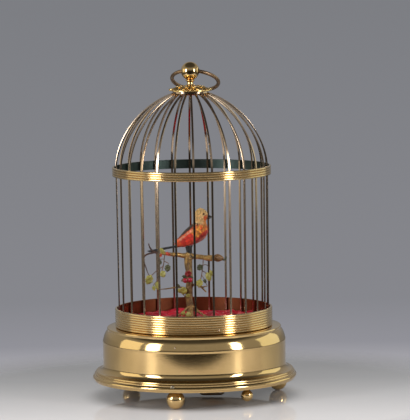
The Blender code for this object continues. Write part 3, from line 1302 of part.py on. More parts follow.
def make_head():
    skull = ball("bird_head", (HEAD_X + 0.2 * MM, 0.0, HEAD_Z), (HEAD_R, HEAD_R, HEAD_RISE), CREAM, 8, 12)
    flat_cut = box("flat_cut", (-10.0 * MM, -12.0 * MM, 120.0 * MM), (20.0 * MM, 12.0 * MM, NECK_Z + SEAT),
                   CREAM)
    skull = cut(skull, flat_cut)
    beak = loft("upper_beak", (((10.6 * MM, 0.0, 141.6 * MM), 1.7 * MM, 2.0 * MM),
                               ((13.2 * MM, 0.0, 141.4 * MM), 1.0 * MM, 1.3 * MM),
                               ((16.0 * MM, 0.0, 140.9 * MM), 0.25 * MM, 0.3 * MM)), CREAM, 8)
    post = tube("post", SPINDLE_R, SPINDLE_BORE, TURN_ARM_Z, NECK_Z + 3.0 * MM, CREAM, (HEAD_X, 0.0), 10)
    slot_x = HEAD_X - HEAD_ARM
    root_x = HEAD_X - SPINDLE_R + 0.1 * MM
    crotch_x = HEAD_X - SPINDLE_R - 0.5 * MM
    end_x = slot_x - 0.9 * MM
    crank = flat("crank", [(root_x, -1.5 * MM), (root_x, 1.5 * MM), (end_x, 1.5 * MM), (end_x, 0.95 * MM),
                           (crotch_x, 0.95 * MM), (crotch_x, -0.95 * MM), (end_x, -0.95 * MM),
                           (end_x, -1.5 * MM)],
                 TURN_ARM_Z, TURN_ARM_T, CREAM)
    skull = join(skull, beak, post, crank)
    channel = rod("channel", SPINDLE_BORE, TURN_ARM_Z - 1.0 * MM, BEAK_PIVOT[1] + 1.6 * MM, CREAM,
                  (HEAD_X, 0.0), 10)
    mouth = box("mouth", (HEAD_X - 0.9 * MM, -1.3 * MM, BEAK_PIVOT[1] - 2.6 * MM),
                (20.0 * MM, 1.3 * MM, BEAK_PIVOT[1] + 1.1 * MM), CREAM)
    heel_room = box("heel_room", (HEAD_X - 0.9 * MM, -1.0 * MM, BEAK_PIVOT[1]),
                    (BEAK_PIVOT[0] - 0.4 * MM, 1.0 * MM, BEAK_PIVOT[1] + 2.5 * MM), CREAM)
    skull = cut(skull, channel, mouth, heel_room)
    set_origin(smooth(skull, 50.0), (HEAD_X, 0.0, HEAD_Z))


def make_beak():
    """The lower beak, whose heel rests over the beak wire."""
    lower = loft("lower_beak", (((10.2 * MM, 0.0, 139.0 * MM), 0.9 * MM, 0.9 * MM),
                                ((12.6 * MM, 0.0, 139.4 * MM), 0.8 * MM, 0.9 * MM),
                                ((15.2 * MM, 0.0, 139.8 * MM), 0.25 * MM, 0.3 * MM)), DARK, 8)
    heel = box("heel", (HEAD_X - 0.5 * MM, -0.5 * MM, BEAK_PIVOT[1] - 0.5 * MM),
               (BEAK_PIVOT[0] + 0.6 * MM, 0.5 * MM, BEAK_PIVOT[1] + 0.1 * MM), DARK)
    set_origin(smooth(join(lower, heel)), (BEAK_PIVOT[0], 0.0, BEAK_PIVOT[1]))


def make_tail():
    feathers = loft("bird_tail", (((-15.6 * MM, 0.0, 118.9 * MM), 1.0 * MM, 1.4 * MM),
                                  ((-20.0 * MM, 0.0, 117.6 * MM), 0.9 * MM, 2.2 * MM),
                                  ((-28.0 * MM, 0.0, 115.4 * MM), 0.7 * MM, 2.4 * MM),
                                  ((-35.6 * MM, 0.0, 113.6 * MM), 0.4 * MM, 1.6 * MM)), DARK, 8)
    arm = wire("arm", [(-16.6 * MM, 0.0, 118.7 * MM), (TAIL_PIVOT[0], 0.0, TAIL_PIVOT[1]),
                       (POST_X, 0.0, 124.0 * MM), (HEAD_X, 0.0, 127.2 * MM)], 0.6 * MM, DARK, 1)
    pivot = rod("pivot", 0.7 * MM, -1.25 * MM, 1.25 * MM, DARK, sides=8)
    pivot.data.transform(Matrix.Translation((TAIL_PIVOT[0], 0.0, TAIL_PIVOT[1])) @
                         Matrix.Rotation(math.radians(90.0), 4, "X"))
    pivot.data.update()
    made = join(feathers, arm, pivot)
    eye = rod("eye", TURN_ROD_R + 0.8 * MM, 120.0 * MM, 127.0 * MM, DARK, POST_AT, 10)
    ring = tube("ring", TURN_ROD_R + 1.15 * MM, TURN_ROD_R + 0.45 * MM, 123.5 * MM, 124.5 * MM, DARK,
                POST_AT, 12)
    made = join(cut(made, eye), ring)
    set_origin(smooth(made), (TAIL_PIVOT[0], 0.0, TAIL_PIVOT[1]))


# Rods from the movement to the bird
LIFT_TUBE_TOP = 123.5 * MM - SEAT
LIFT_EYE_Z = LIFT_PIVOT_Z - 0.5 * MM
LIFT_EYE_T = 1.0 * MM
TURN_LOW_Z = UPPER_TOP + 0.5 * MM
TURN_LOW_T = 1.0 * MM


def make_rods():
    lift = tube("lift_tube", LIFT_TUBE_R, LIFT_TUBE_BORE, LIFT_EYE_Z + LIFT_EYE_T + SEAT, LIFT_TUBE_TOP,
                STEEL, POST_AT, 12)
    smooth(lift)
    turn = rod("turn_rod", TURN_ROD_R, TURN_LOW_Z, TURN_ARM_Z + TURN_ARM_T, STEEL, POST_AT, 8)
    low = flat("low", bar_outline(POST_AT, TURN_PIN, 1.8 * MM), TURN_LOW_Z, TURN_LOW_T, STEEL)
    pin = rod("pin", FOLLOWER_R, TURN_CAM_Z, TURN_LOW_Z + TURN_LOW_T, STEEL, TURN_PIN, 10)
    tip = (POST_X + TURN_ARM, 0.0)
    high = flat("high", bar_outline(POST_AT, (tip[0] - 0.1 * MM, 0.0), 1.0 * MM), TURN_ARM_Z, TURN_ARM_T,
                STEEL)
    set_origin(smooth(join(turn, low, pin, high)), (*POST_AT, 0.0))
    wire_low = 127.2 * MM + 0.6 * MM + SEAT
    wire_top = BEAK_PIVOT[1] - 0.5 * MM - SEAT
    smooth(rod("beak_wire", BEAK_WIRE_R, wire_low, wire_top, STEEL, (HEAD_X, 0.0), 8))


def make_lift_lever():
    eye = tube("lift_lever", 2.2 * MM, TURN_ROD_R + 0.75 * MM, LIFT_EYE_Z, LIFT_EYE_Z + LIFT_EYE_T, STEEL,
               POST_AT, 16)
    arm = box("arm", (POST_X - 0.8 * MM, LIFT_TOE_Y - LIFT_TOE_T, LIFT_PIVOT_Z - 0.9 * MM),
              (POST_X + 0.8 * MM, -1.8 * MM, LIFT_PIVOT_Z + 0.9 * MM), STEEL)
    boss = rod("boss", 1.5 * MM, POST_X - 1.1 * MM, POST_X + 1.1 * MM, STEEL, sides=10)
    axle = rod("axle", ARBOR_R, POST_X + 0.6 * MM, EAR_X + EAR_T + 0.6 * MM, STEEL, sides=8)
    for piece in (boss, axle):
        piece.data.transform(Matrix.Translation((0.0, LIFT_PIVOT_Y, LIFT_PIVOT_Z)) @
                             Matrix.Rotation(math.radians(90.0), 4, "Y"))
        piece.data.update()
    toe = box("toe", (POST_X - 0.8 * MM, LIFT_TOE_Y - LIFT_TOE_T, LIFT_CAM_Z + 0.2 * MM),
              (POST_X + 0.8 * MM, LIFT_TOE_Y, LIFT_PIVOT_Z), STEEL)
    made = join(eye, arm, boss, axle, toe)
    set_origin(smooth(made), (POST_X, LIFT_PIVOT_Y, LIFT_PIVOT_Z))


make_base()
make_bottom_plate()
make_feet()
make_rim_screws()
make_bands()
make_bars()
make_crown()
make_finial()
make_ring()
make_cam_arbor()
make_third_arbor()
make_fly()
make_cams()
make_barrel()
make_winding()
make_click()
make_key()
make_start_lever()
make_stop_arm()
make_plates()
make_deck()
make_cloth()
make_bellows()
make_whistle()
make_pitch_lever()
make_perch()
make_foliage()
make_bird_body()
make_head()
make_beak()
make_tail()
make_rods()
make_lift_lever()
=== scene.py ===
# %% [markdown]
# # Singing bird in a domed brass cage
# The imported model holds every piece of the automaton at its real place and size.
# Each visible piece is modelled again here in more detail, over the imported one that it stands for.
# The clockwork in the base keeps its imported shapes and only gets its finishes.

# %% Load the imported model
import json
import math
import random
import bpy
from mathutils import Matrix, Vector, noise


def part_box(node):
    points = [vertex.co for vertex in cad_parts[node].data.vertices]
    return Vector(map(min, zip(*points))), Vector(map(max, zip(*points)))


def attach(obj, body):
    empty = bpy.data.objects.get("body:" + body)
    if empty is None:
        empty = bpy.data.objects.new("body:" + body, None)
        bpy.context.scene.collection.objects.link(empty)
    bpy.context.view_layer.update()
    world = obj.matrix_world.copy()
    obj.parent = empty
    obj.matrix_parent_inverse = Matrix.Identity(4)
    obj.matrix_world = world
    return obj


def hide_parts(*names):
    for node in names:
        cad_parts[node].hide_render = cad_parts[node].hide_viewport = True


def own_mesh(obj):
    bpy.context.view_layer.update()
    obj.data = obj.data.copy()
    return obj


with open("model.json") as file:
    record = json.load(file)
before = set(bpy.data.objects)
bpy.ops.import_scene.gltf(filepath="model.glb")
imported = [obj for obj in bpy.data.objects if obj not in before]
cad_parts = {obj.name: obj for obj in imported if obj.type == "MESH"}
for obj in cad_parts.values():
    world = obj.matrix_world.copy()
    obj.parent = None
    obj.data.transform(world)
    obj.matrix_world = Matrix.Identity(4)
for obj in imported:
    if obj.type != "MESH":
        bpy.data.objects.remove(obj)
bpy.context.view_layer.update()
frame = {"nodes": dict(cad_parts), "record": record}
nodes = frame["nodes"]
MM = 0.001

# %% [markdown]
# The camera stands two and a half metres in front and a little above, with a long lens.
# Its tilt comes from how round the flange and the bands look, and the slight roll from the stem's lean.

# %% Camera
camera_away = 2.5
camera_height = 0.39498
turned_aside, looks_down, roll = -0.004, 0.0992, -0.015
long_lens = 275.4
bpy.ops.object.camera_add(location=(0.0, -camera_away, camera_height))
camera = bpy.context.object
camera.name = "camera"
tilt = Matrix.Rotation(math.pi / 2 - looks_down, 4, "X") @ Matrix.Rotation(roll, 4, "Z")
camera.rotation_euler = (Matrix.Rotation(turned_aside, 4, "Z") @ tilt).to_euler()
camera.data.lens = long_lens
camera.data.sensor_width = 36.0
camera.data.clip_end = 50.0
bpy.context.scene.camera = camera
bpy.context.scene.view_settings.view_transform = "Standard"
print("camera lens", camera.data.lens)

# %% [markdown]
# Node trees take many links, so a few helpers keep each material short. `feed` puts a number or another
# node's output into a socket, and `sum_up`, `times` and `mix` wrap the nodes used most. `spread` maps a
# range of values to another one.

# %% Helpers for node trees
def feed(tree, value, socket):
    if isinstance(value, bpy.types.NodeSocket):
        tree.links.new(value, socket)
    else:
        socket.default_value = value


def add_node(tree, kind, settings=None, **inputs):
    made = tree.nodes.new("ShaderNode" + kind)
    for key, value in (settings or {}).items():
        setattr(made, key, value)
    for key, value in inputs.items():
        feed(tree, value, made.inputs[key.replace("_", " ")])
    return made


def sum_up(tree, operation, *terms, clamp=False):
    made = tree.nodes.new("ShaderNodeMath")
    made.operation = operation
    made.use_clamp = clamp
    for socket, term in zip(made.inputs, terms):
        feed(tree, term, socket)
    return made.outputs[0]


def times(tree, *terms, clamp=False):
    return sum_up(tree, "MULTIPLY", *terms, clamp=clamp)


def mix(tree, share, first, second, blend="MIX"):
    made = tree.nodes.new("ShaderNodeMix")
    made.data_type = "RGBA"
    made.blend_type = blend
    made.clamp_factor = True
    for socket, term in ((made.inputs[0], share), (made.inputs[6], first), (made.inputs[7], second)):
        feed(tree, term, socket)
    return made.outputs[2]


def spread(tree, value, low, high, to_low=0.0, to_high=1.0):
    made = add_node(tree, "MapRange", Value=value, From_Min=low, From_Max=high, To_Min=to_low,
                    To_Max=to_high)
    return made.outputs[0]


def place_on(tree, scale=(1.0, 1.0, 1.0), turn=(0.0, 0.0, 0.0)):
    spot = tree.nodes.new("ShaderNodeTexCoord")
    made = add_node(tree, "Mapping", Vector=spot.outputs["Object"], Scale=scale, Rotation=turn)
    return made.outputs[0]


def new_group(name, inputs, outputs):
    tree = bpy.data.node_groups.new(name, "ShaderNodeTree")
    for label, kind, value in inputs:
        socket = tree.interface.new_socket(label, in_out="INPUT", socket_type="NodeSocket" + kind)
        socket.default_value = value
    for label, kind in outputs:
        tree.interface.new_socket(label, in_out="OUTPUT", socket_type="NodeSocket" + kind)
    return tree, tree.nodes.new("NodeGroupInput").outputs, tree.nodes.new("NodeGroupOutput").inputs


def use_group(tree, group, **inputs):
    made = tree.nodes.new("ShaderNodeGroup")
    made.node_tree = group
    for key, value in inputs.items():
        feed(tree, value, made.inputs[key.replace("_", " ")])
    return made.outputs


def new_material(name):
    made = bpy.data.materials.new(name)
    made.use_nodes = True
    return made, made.node_tree, made.node_tree.nodes["Principled BSDF"]


# %% [markdown]
# Handled brass is bright where it is rubbed, along edges and high spots, and duller in between.
# A bevel node finds the edges: where the softened normal leaves the true one, there is an edge.
# Pointiness finds edges too, but only on a dense mesh, and the turned pieces have few points.

# %% Shared effect: rubbed edges
edge_wear, source, result = new_group("rubbed_edges", [("Reach", "Float", 0.0006), ("Gain", "Float", 3.0)],
                                      [("Edge", "Float")])
softened = add_node(edge_wear, "Bevel", {"samples": 4}, Radius=source["Reach"])
true_face = edge_wear.nodes.new("ShaderNodeNewGeometry")
facing = add_node(edge_wear, "VectorMath", {"operation": "DOT_PRODUCT"})
feed(edge_wear, softened.outputs[0], facing.inputs[0])
feed(edge_wear, true_face.outputs["Normal"], facing.inputs[1])
away = sum_up(edge_wear, "SUBTRACT", 1.0, facing.outputs["Value"])
feed(edge_wear, times(edge_wear, away, source["Gain"], clamp=True), result["Edge"])
print("made", edge_wear.name)

# %% [markdown]
# Old lacquered brass darkens in soft patches with fine specks in them.
# Two noise sizes give the patches and the specks, and the edge mask keeps the rubbed places bright.

# %% Shared effect: tarnish
tarnish, source, result = new_group(
    "tarnish",
    [("Bright", "Color", (0.8, 0.5, 0.2, 1.0)), ("Dull", "Color", (0.4, 0.25, 0.1, 1.0)),
     ("Patches", "Float", 60.0), ("Amount", "Float", 0.5), ("Edge", "Float", 0.0)],
    [("Colour", "Color"), ("Dullness", "Float")])
spot = place_on(tarnish)
patch = add_node(tarnish, "TexNoise", Vector=spot, Scale=source["Patches"], Detail=5.0, Roughness=0.6)
speck_size = times(tarnish, source["Patches"], 14.0)
speck = add_node(tarnish, "TexNoise", Vector=spot, Scale=speck_size, Detail=3.0, Roughness=0.7)
soft = spread(tarnish, patch.outputs[0], 0.36, 0.68)
fine = spread(tarnish, speck.outputs[0], 0.5, 0.75)
both = sum_up(tarnish, "ADD", times(tarnish, soft, 0.8), times(tarnish, fine, 0.45))
aged = times(tarnish, both, source["Amount"])
kept = sum_up(tarnish, "SUBTRACT", aged, source["Edge"], clamp=True)
feed(tarnish, mix(tarnish, kept, source["Bright"], source["Dull"]), result["Colour"])
feed(tarnish, kept, result["Dullness"])
print("made", tarnish.name)

# %% [markdown]
# A turned and polished piece keeps faint rings round its axis, and every handled piece has hairline
# scratches. Both are height for a bump: the rings are noise squeezed along the axis, the scratches are
# thin lines of noise.

# %% Shared effect: turning rings and scratches
turned_rings, source, result = new_group("turned_rings", [("Fineness", "Float", 5000.0)],
                                         [("Height", "Float")])
along = add_node(turned_rings, "CombineXYZ", X=12.0, Y=12.0, Z=source["Fineness"])
spot = turned_rings.nodes.new("ShaderNodeTexCoord")
squeezed = add_node(turned_rings, "Mapping", Vector=spot.outputs["Object"], Scale=along.outputs[0])
rings = add_node(turned_rings, "TexNoise", Vector=squeezed.outputs[0], Scale=1.0, Detail=2.0)
feed(turned_rings, rings.outputs[0], result["Height"])

scratches, source, result = new_group("hairline_scratches", [("Scale", "Float", 1.0)],
                                      [("Height", "Float")])
lines = None
for turn_by in ((0.3, 0.7, 0.2), (1.1, -0.4, 0.9)):
    spot = place_on(scratches, (25.0, 700.0, 700.0), turn_by)
    streak = add_node(scratches, "TexNoise", Vector=spot, Scale=source["Scale"], Detail=1.0)
    off = sum_up(scratches, "ABSOLUTE", sum_up(scratches, "SUBTRACT", streak.outputs[0], 0.5))
    line = sum_up(scratches, "SUBTRACT", 1.0, times(scratches, off, 40.0), clamp=True)
    lines = line if lines is None else sum_up(scratches, "MAXIMUM", lines, line)
feed(scratches, lines, result["Height"])
print("made", turned_rings.name, "and", scratches.name)

# %% [markdown]
# All the metals on the automaton are one recipe with other numbers: bright and dull colour, how smooth
# each is, how large the patches are and how much of the surface they take.

# %% Metal finishes
def metal(name, bright, dull, smooth, rough, patches=60.0, amount=0.5, rings=0.0, reach=0.0006,
          scratch=0.000003):
    made, tree, shader = new_material(name)
    edge = use_group(tree, edge_wear, Reach=reach, Gain=2.5)["Edge"]
    coat = use_group(tree, tarnish, Bright=(*bright, 1.0), Dull=(*dull, 1.0), Patches=patches,
                     Amount=amount, Edge=edge)
    feed(tree, coat["Colour"], shader.inputs["Base Color"])
    feed(tree, spread(tree, coat["Dullness"], 0.0, 1.0, smooth, rough), shader.inputs["Roughness"])
    shader.inputs["Metallic"].default_value = 1.0
    height = times(tree, use_group(tree, scratches)["Height"], -scratch / MM)
    if rings:
        lathe = times(tree, use_group(tree, turned_rings)["Height"], rings / MM)
        height = sum_up(tree, "ADD", height, lathe)
    bump = add_node(tree, "Bump", Strength=1.0, Distance=MM, Height=height)
    feed(tree, bump.outputs[0], shader.inputs["Normal"])
    return made


polished_brass = metal("polished_brass", (0.80, 0.56, 0.255), (0.64, 0.42, 0.17), 0.085, 0.14, 40.0, 0.45,
                       0.0000015, scratch=0.0000012)
reeded_brass = metal("reeded_brass", (0.80, 0.59, 0.30), (0.55, 0.37, 0.17), 0.14, 0.22, 60.0, 0.5,
                     scratch=0.0000001)
cast_brass = metal("cast_brass", (0.85, 0.62, 0.26), (0.34, 0.19, 0.06), 0.16, 0.4, 400.0, 0.6)
aged_wire = metal("aged_wire_brass", (0.60, 0.46, 0.32), (0.31, 0.215, 0.155), 0.13, 0.22, 30.0, 0.7,
                  reach=0.0003, scratch=0.000001)
ring_bronze = metal("ring_bronze", (0.42, 0.27, 0.15), (0.16, 0.10, 0.07), 0.26, 0.5, 220.0, 0.8)
movement_brass = metal("movement_brass", (0.78, 0.58, 0.26), (0.48, 0.33, 0.14), 0.25, 0.45, 90.0, 0.6)
blued_steel = metal("blued_steel", (0.22, 0.25, 0.34), (0.12, 0.12, 0.15), 0.2, 0.4, 120.0, 0.6)
# Painted shade: a darker, greenish brass for the mid band's shaded inside.
shaded_inside = metal("painted_shade_inside", (0.075, 0.105, 0.095), (0.03, 0.042, 0.038), 0.35, 0.55, 90.0, 0.7)
# Painted shade and reflection: a darker, redder brass for the gallery's shaded inside and the red cloth.
shade_and_cloth_reflection_inside = metal("shade_and_cloth_reflection_inside", (0.30, 0.105, 0.045), (0.11, 0.036, 0.022), 0.32, 0.5, 70.0, 0.7)
print("made", len(bpy.data.materials), "materials")

# %% [markdown]
# Paint, wood, horn and leather share one recipe too: two tones in soft patches and fine specks, a worn
# tone along the edges, and a fine grain for the bump. `place_on` gives them Object coordinates, so
# nothing slides.

# %% Painted finishes
def painted(name, light, dark, worn, patches, smooth, rough, grain=0.05, wear=0.6):
    made, tree, shader = new_material(name)
    spot = place_on(tree)
    patch = add_node(tree, "TexNoise", Vector=spot, Scale=patches, Detail=4.0, Roughness=0.6)
    speck = add_node(tree, "TexNoise", Vector=spot, Scale=patches * 9.0, Detail=3.0, Roughness=0.6)
    share = sum_up(tree, "ADD", times(tree, spread(tree, patch.outputs[0], 0.35, 0.65), 0.7),
                   times(tree, spread(tree, speck.outputs[0], 0.45, 0.7), 0.4), clamp=True)
    edge = use_group(tree, edge_wear, Reach=0.00025, Gain=2.0)["Edge"]
    tone = mix(tree, share, (*light, 1.0), (*dark, 1.0))
    feed(tree, mix(tree, times(tree, edge, wear), tone, (*worn, 1.0)), shader.inputs["Base Color"])
    feed(tree, spread(tree, share, 0.0, 1.0, smooth, rough), shader.inputs["Roughness"])
    bump = add_node(tree, "Bump", Strength=1.0, Distance=grain * MM, Height=speck.outputs[0])
    feed(tree, bump.outputs[0], shader.inputs["Normal"])
    return made, tree, shader


painted_leaf = painted("painted_leaf", (0.43, 0.38, 0.09), (0.20, 0.20, 0.045), (0.74, 0.56, 0.20), 220.0,
                       0.35, 0.6)[0]
dark_leaf = painted("dark_leaf", (0.085, 0.085, 0.03), (0.025, 0.028, 0.012), (0.30, 0.20, 0.07), 200.0,
                    0.4, 0.65)[0]
red_leaf = painted("red_leaf", (0.60, 0.07, 0.03), (0.30, 0.03, 0.02), (0.75, 0.30, 0.10), 200.0, 0.4,
                   0.6)[0]
stem_green = painted("stem_green", (0.20, 0.11, 0.06), (0.10, 0.05, 0.03), (0.46, 0.30, 0.14), 240.0, 0.4,
                     0.6)[0]
blossom_red = painted("blossom_red", (0.36, 0.02, 0.02), (0.12, 0.008, 0.012), (0.55, 0.10, 0.05), 260.0,
                      0.4, 0.65)[0]
berry_red, tree, shader = painted("berry_red", (0.52, 0.02, 0.05), (0.26, 0.01, 0.02), (0.65, 0.12, 0.10),
                                  220.0, 0.1, 0.22)
shader.inputs["Coat Weight"].default_value = 0.6
cone_brown = painted("cone_brown", (0.30, 0.15, 0.05), (0.10, 0.05, 0.02), (0.55, 0.33, 0.13), 300.0, 0.35,
                     0.6)[0]
screw_steel = metal("screw_steel", (0.42, 0.36, 0.27), (0.16, 0.12, 0.08), 0.25, 0.5, 300.0, 0.7,
                    reach=0.0002)
bare_twig = painted("bare_twig", (0.11, 0.06, 0.045), (0.045, 0.026, 0.022), (0.42, 0.28, 0.15), 260.0, 0.4,
                    0.6, 0.1)[0]
print("made", len(bpy.data.materials), "materials")

# %% [markdown]
# The branch is gilded over brown. The gold is metal where it still stands on the high places, and the
# brown shows in the hollows, so one mask from noise and edges drives both the colour and how metallic the
# surface is.

# %% Gilded bark
gilded_branch, tree, shader = new_material("gilded_branch")
spot = place_on(tree)
patch = add_node(tree, "TexNoise", Vector=spot, Scale=230.0, Detail=5.0, Roughness=0.65)
grain = add_node(tree, "TexNoise", Vector=place_on(tree, (1.0, 1.0, 0.35)), Scale=1500.0, Detail=3.0)
form = tree.nodes.new("ShaderNodeNewGeometry")
high = spread(tree, form.outputs["Pointiness"], 0.46, 0.56)
edge = use_group(tree, edge_wear, Reach=0.0006, Gain=3.0)["Edge"]
gilt = sum_up(tree, "ADD", times(tree, high, 0.8),
              times(tree, spread(tree, patch.outputs[0], 0.42, 0.6), 0.55))
gilt = sum_up(tree, "SUBTRACT", sum_up(tree, "ADD", gilt, times(tree, edge, 0.3)), 0.18, clamp=True)
height = add_node(tree, "SeparateXYZ", Vector=spot).outputs["Z"]
gilt = times(tree, gilt, spread(tree, height, 0.100, 0.108, 0.40, 1.0), clamp=True)
gold = mix(tree, spread(tree, grain.outputs[0], 0.3, 0.7), (0.95, 0.62, 0.22, 1.0), (0.66, 0.38, 0.11, 1.0))
feed(tree, mix(tree, gilt, (0.07, 0.035, 0.015, 1.0), gold), shader.inputs["Base Color"])
feed(tree, times(tree, gilt, 0.95), shader.inputs["Metallic"])
feed(tree, spread(tree, gilt, 0.0, 1.0, 0.55, 0.28), shader.inputs["Roughness"])
bump = add_node(tree, "Bump", Strength=1.0, Distance=0.1 * MM, Height=grain.outputs[0])
feed(tree, bump.outputs[0], shader.inputs["Normal"])

# %% [markdown]
# Satin is smooth and shows its folds by long soft highlights. Its threads run one way, so the highlight
# is drawn out by a fine ribbed bump along the cloth's own UV map, and a pale pink sheen lies on the
# folds' shoulders.

# %% Crimson satin
crimson_satin, tree, shader = new_material("crimson_satin")
spot = place_on(tree)
own = tree.nodes.new("ShaderNodeTexCoord")
threads = add_node(tree, "TexWave", {"bands_direction": "X"}, Scale=190.0, Distortion=0.6, Detail=1.0)
feed(tree, own.outputs["UV"], threads.inputs["Vector"])
weft = add_node(tree, "TexWave", {"bands_direction": "Y"}, Scale=60.0, Distortion=0.8, Detail=1.0)
feed(tree, own.outputs["UV"], weft.inputs["Vector"])
patch = add_node(tree, "TexNoise", Vector=spot, Scale=70.0, Detail=4.0)
tone = mix(tree, spread(tree, patch.outputs[0], 0.35, 0.65), (0.58, 0.014, 0.034, 1.0),
           (0.29, 0.006, 0.015, 1.0))
edge = use_group(tree, edge_wear, Reach=0.0012, Gain=1.5)["Edge"]
tone = mix(tree, times(tree, edge, 0.5), tone, (0.70, 0.05, 0.09, 1.0))
feed(tree, mix(tree, times(tree, threads.outputs[0], 0.22), tone, (0.62, 0.03, 0.06, 1.0)),
     shader.inputs["Base Color"])
feed(tree, spread(tree, patch.outputs[0], 0.3, 0.7, 0.27, 0.38), shader.inputs["Roughness"])
shader.inputs["Specular IOR Level"].default_value = 0.8
shader.inputs["Specular Tint"].default_value = (1.0, 0.42, 0.48, 1.0)
shader.inputs["Sheen Weight"].default_value = 0.12
shader.inputs["Sheen Roughness"].default_value = 0.35
shader.inputs["Sheen Tint"].default_value = (1.0, 0.5, 0.55, 1.0)
weave = sum_up(tree, "ADD", threads.outputs[0], times(tree, weft.outputs[0], 0.4))
bump = add_node(tree, "Bump", Strength=1.0, Distance=0.02 * MM, Height=weave)
feed(tree, bump.outputs[0], shader.inputs["Normal"])
print("made", gilded_branch.name, "and", crimson_satin.name)

# %% [markdown]
# Every shape starts from nothing selected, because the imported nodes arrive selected. A turned piece is
# drawn as a line of points from one extruded vertex and then spun round the upright axis, as on a lathe.
# Merging the doubles closes the seam and the poles.

# %% Helpers for shapes
def deselect():
    if bpy.context.object and bpy.context.object.mode != "OBJECT":
        bpy.ops.object.mode_set(mode="OBJECT")
    bpy.ops.object.select_all(action="DESELECT")


def pick(piece):
    deselect()
    piece.select_set(True)
    bpy.context.view_layer.objects.active = piece


def close_up(threshold=1e-6):
    """Merges the doubles of the active piece and turns its faces outwards."""
    bpy.ops.object.mode_set(mode="EDIT")
    bpy.ops.mesh.select_all(action="SELECT")
    bpy.ops.mesh.remove_doubles(threshold=threshold)
    bpy.ops.mesh.normals_make_consistent(inside=False)
    bpy.ops.object.mode_set(mode="OBJECT")


def settle(piece, angle=35.0):
    """Puts the piece's place in its mesh, and smooths all but its sharp edges."""
    pick(piece)
    bpy.ops.object.transform_apply(location=True, rotation=True, scale=True)
    bpy.ops.object.shade_smooth_by_angle(angle=math.radians(angle))
    return piece


def apply_all(piece):
    pick(piece)
    for modifier in list(piece.modifiers):
        bpy.ops.object.modifier_apply(modifier=modifier.name)


def thicken(piece, wall, offset=-1.0, rounded=False):
    """Gives a sheet a wall in mm, and rounds it by one step of subdivision."""
    thick = piece.modifiers.new("wall", "SOLIDIFY")
    thick.thickness = wall * MM
    thick.offset = offset
    if rounded:
        rounder = piece.modifiers.new("rounder", "SUBSURF")
        rounder.levels = rounder.render_levels = 1
    apply_all(piece)


def grid(name, across, along, size=2.0):
    deselect()
    bpy.ops.mesh.primitive_grid_add(x_subdivisions=across, y_subdivisions=along, size=size)
    piece = bpy.context.object
    piece.name = name
    return piece


def turned(name, outline, steps=96, at=(0.0, 0.0, 0.0)):
    """Spins a line of (radius, height) points in mm about the upright axis."""
    deselect()
    bpy.ops.mesh.primitive_plane_add(size=MM)
    piece = bpy.context.object
    piece.name = name
    bpy.ops.object.mode_set(mode="EDIT")
    bpy.ops.mesh.merge(type="CENTER")
    bpy.ops.transform.translate(value=(outline[0][0] * MM, 0.0, outline[0][1] * MM))
    for here, there in zip(outline, outline[1:]):
        step = ((there[0] - here[0]) * MM, 0.0, (there[1] - here[1]) * MM)
        bpy.ops.mesh.extrude_vertices_move(TRANSFORM_OT_translate={"value": step})
    bpy.ops.mesh.select_all(action="SELECT")
    bpy.ops.mesh.spin(steps=steps, angle=math.tau, center=(0.0, 0.0, 0.0), axis=(0.0, 0.0, 1.0))
    close_up()
    piece.location = at
    return piece


def arc(centre, radius, start, end, count=6):
    """Points in mm on an arc of a turned outline, angles in degrees from outwards."""
    turns = [math.radians(start + (end - start) * i / (count - 1)) for i in range(count)]
    return [(centre[0] + radius * math.cos(t), centre[1] + radius * math.sin(t)) for t in turns]


def bend(first, pull, last, count=8):
    """Points in mm on a curve from first to last, drawn towards pull."""
    points = []
    for i in range(count):
        t = i / (count - 1)
        points.append(tuple((1 - t) ** 2 * a + 2 * t * (1 - t) * b + t * t * c
                            for a, b, c in zip(first, pull, last)))
    return points


def paint(pieces, material):
    for piece in pieces:
        piece.data.materials.clear()
        piece.data.materials.append(material)


def finish(piece, material, body, *stands_for, slot=None):
    """Gives the piece its finish, if it isn't painted yet, its body and the nodes it stands for."""
    if material:
        paint([piece], material)
    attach(piece, body)
    if stands_for:
        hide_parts(*stands_for)
    print(piece.name, len(piece.data.polygons), "faces")
    return piece


# %% [markdown]
# The base is spun from sheet brass: a ledge, a rounded shoulder, a straight wall and a flare that ends in
# three fine beads at the flange. It is one outline, outside and inside, so the sheet shows its thickness
# at the rim.

# %% Base shell
outside = [(54.0, 55.4), (60.0, 55.4), (67.2, 55.4), (67.9, 55.2), (68.2, 54.6), (68.0, 53.9)]
outside += bend((67.95, 53.3), (70.2, 51.2), (71.2, 46.8), 8)
outside += [(71.5, 45.8), (71.75, 44.8), (71.8, 44.0), (71.65, 43.4)]
outside += [(71.6, 43.1), (71.6, 42.7), (71.6, 36.0), (71.6, 30.0), (71.6, 27.2), (71.6, 26.8)]
outside += bend((71.62, 26.2), (72.0, 22.6), (75.1, 21.7), 10) + [(75.9, 21.55)]
outside += arc((76.5, 20.4), 1.1, 85.0, -20.0, 8) + arc((77.5, 18.9), 1.15, 60.0, -25.0, 7)
outside += arc((78.3, 16.5), 1.65, 50.0, -60.0, 9)
outside += [(79.0, 14.8), (78.6, 13.95)]
inside = [(77.8, 13.95), (77.2, 15.6), (75.2, 19.4), (71.6, 22.6), (70.5, 26.8), (70.4, 42.2), (70.2, 46.0),
          (68.6, 50.8), (66.9, 53.6), (66.2, 54.2), (54.0, 54.2), (54.0, 55.4)]
base = settle(turned("base_shell", outside + inside, 144), 28.0)
finish(base, polished_brass, "cage", "base_shell", slot="polished_brass")

# %% [markdown]
# Two reeded bands hold the bars: eight reeds at the gallery and four at the spring of the dome.
# Each reed is a shallow half round between narrow grooves, and the inside of the band is plain.
# A bump map could draw the reeds, but not in the band's outline, so each band is turned from one line.

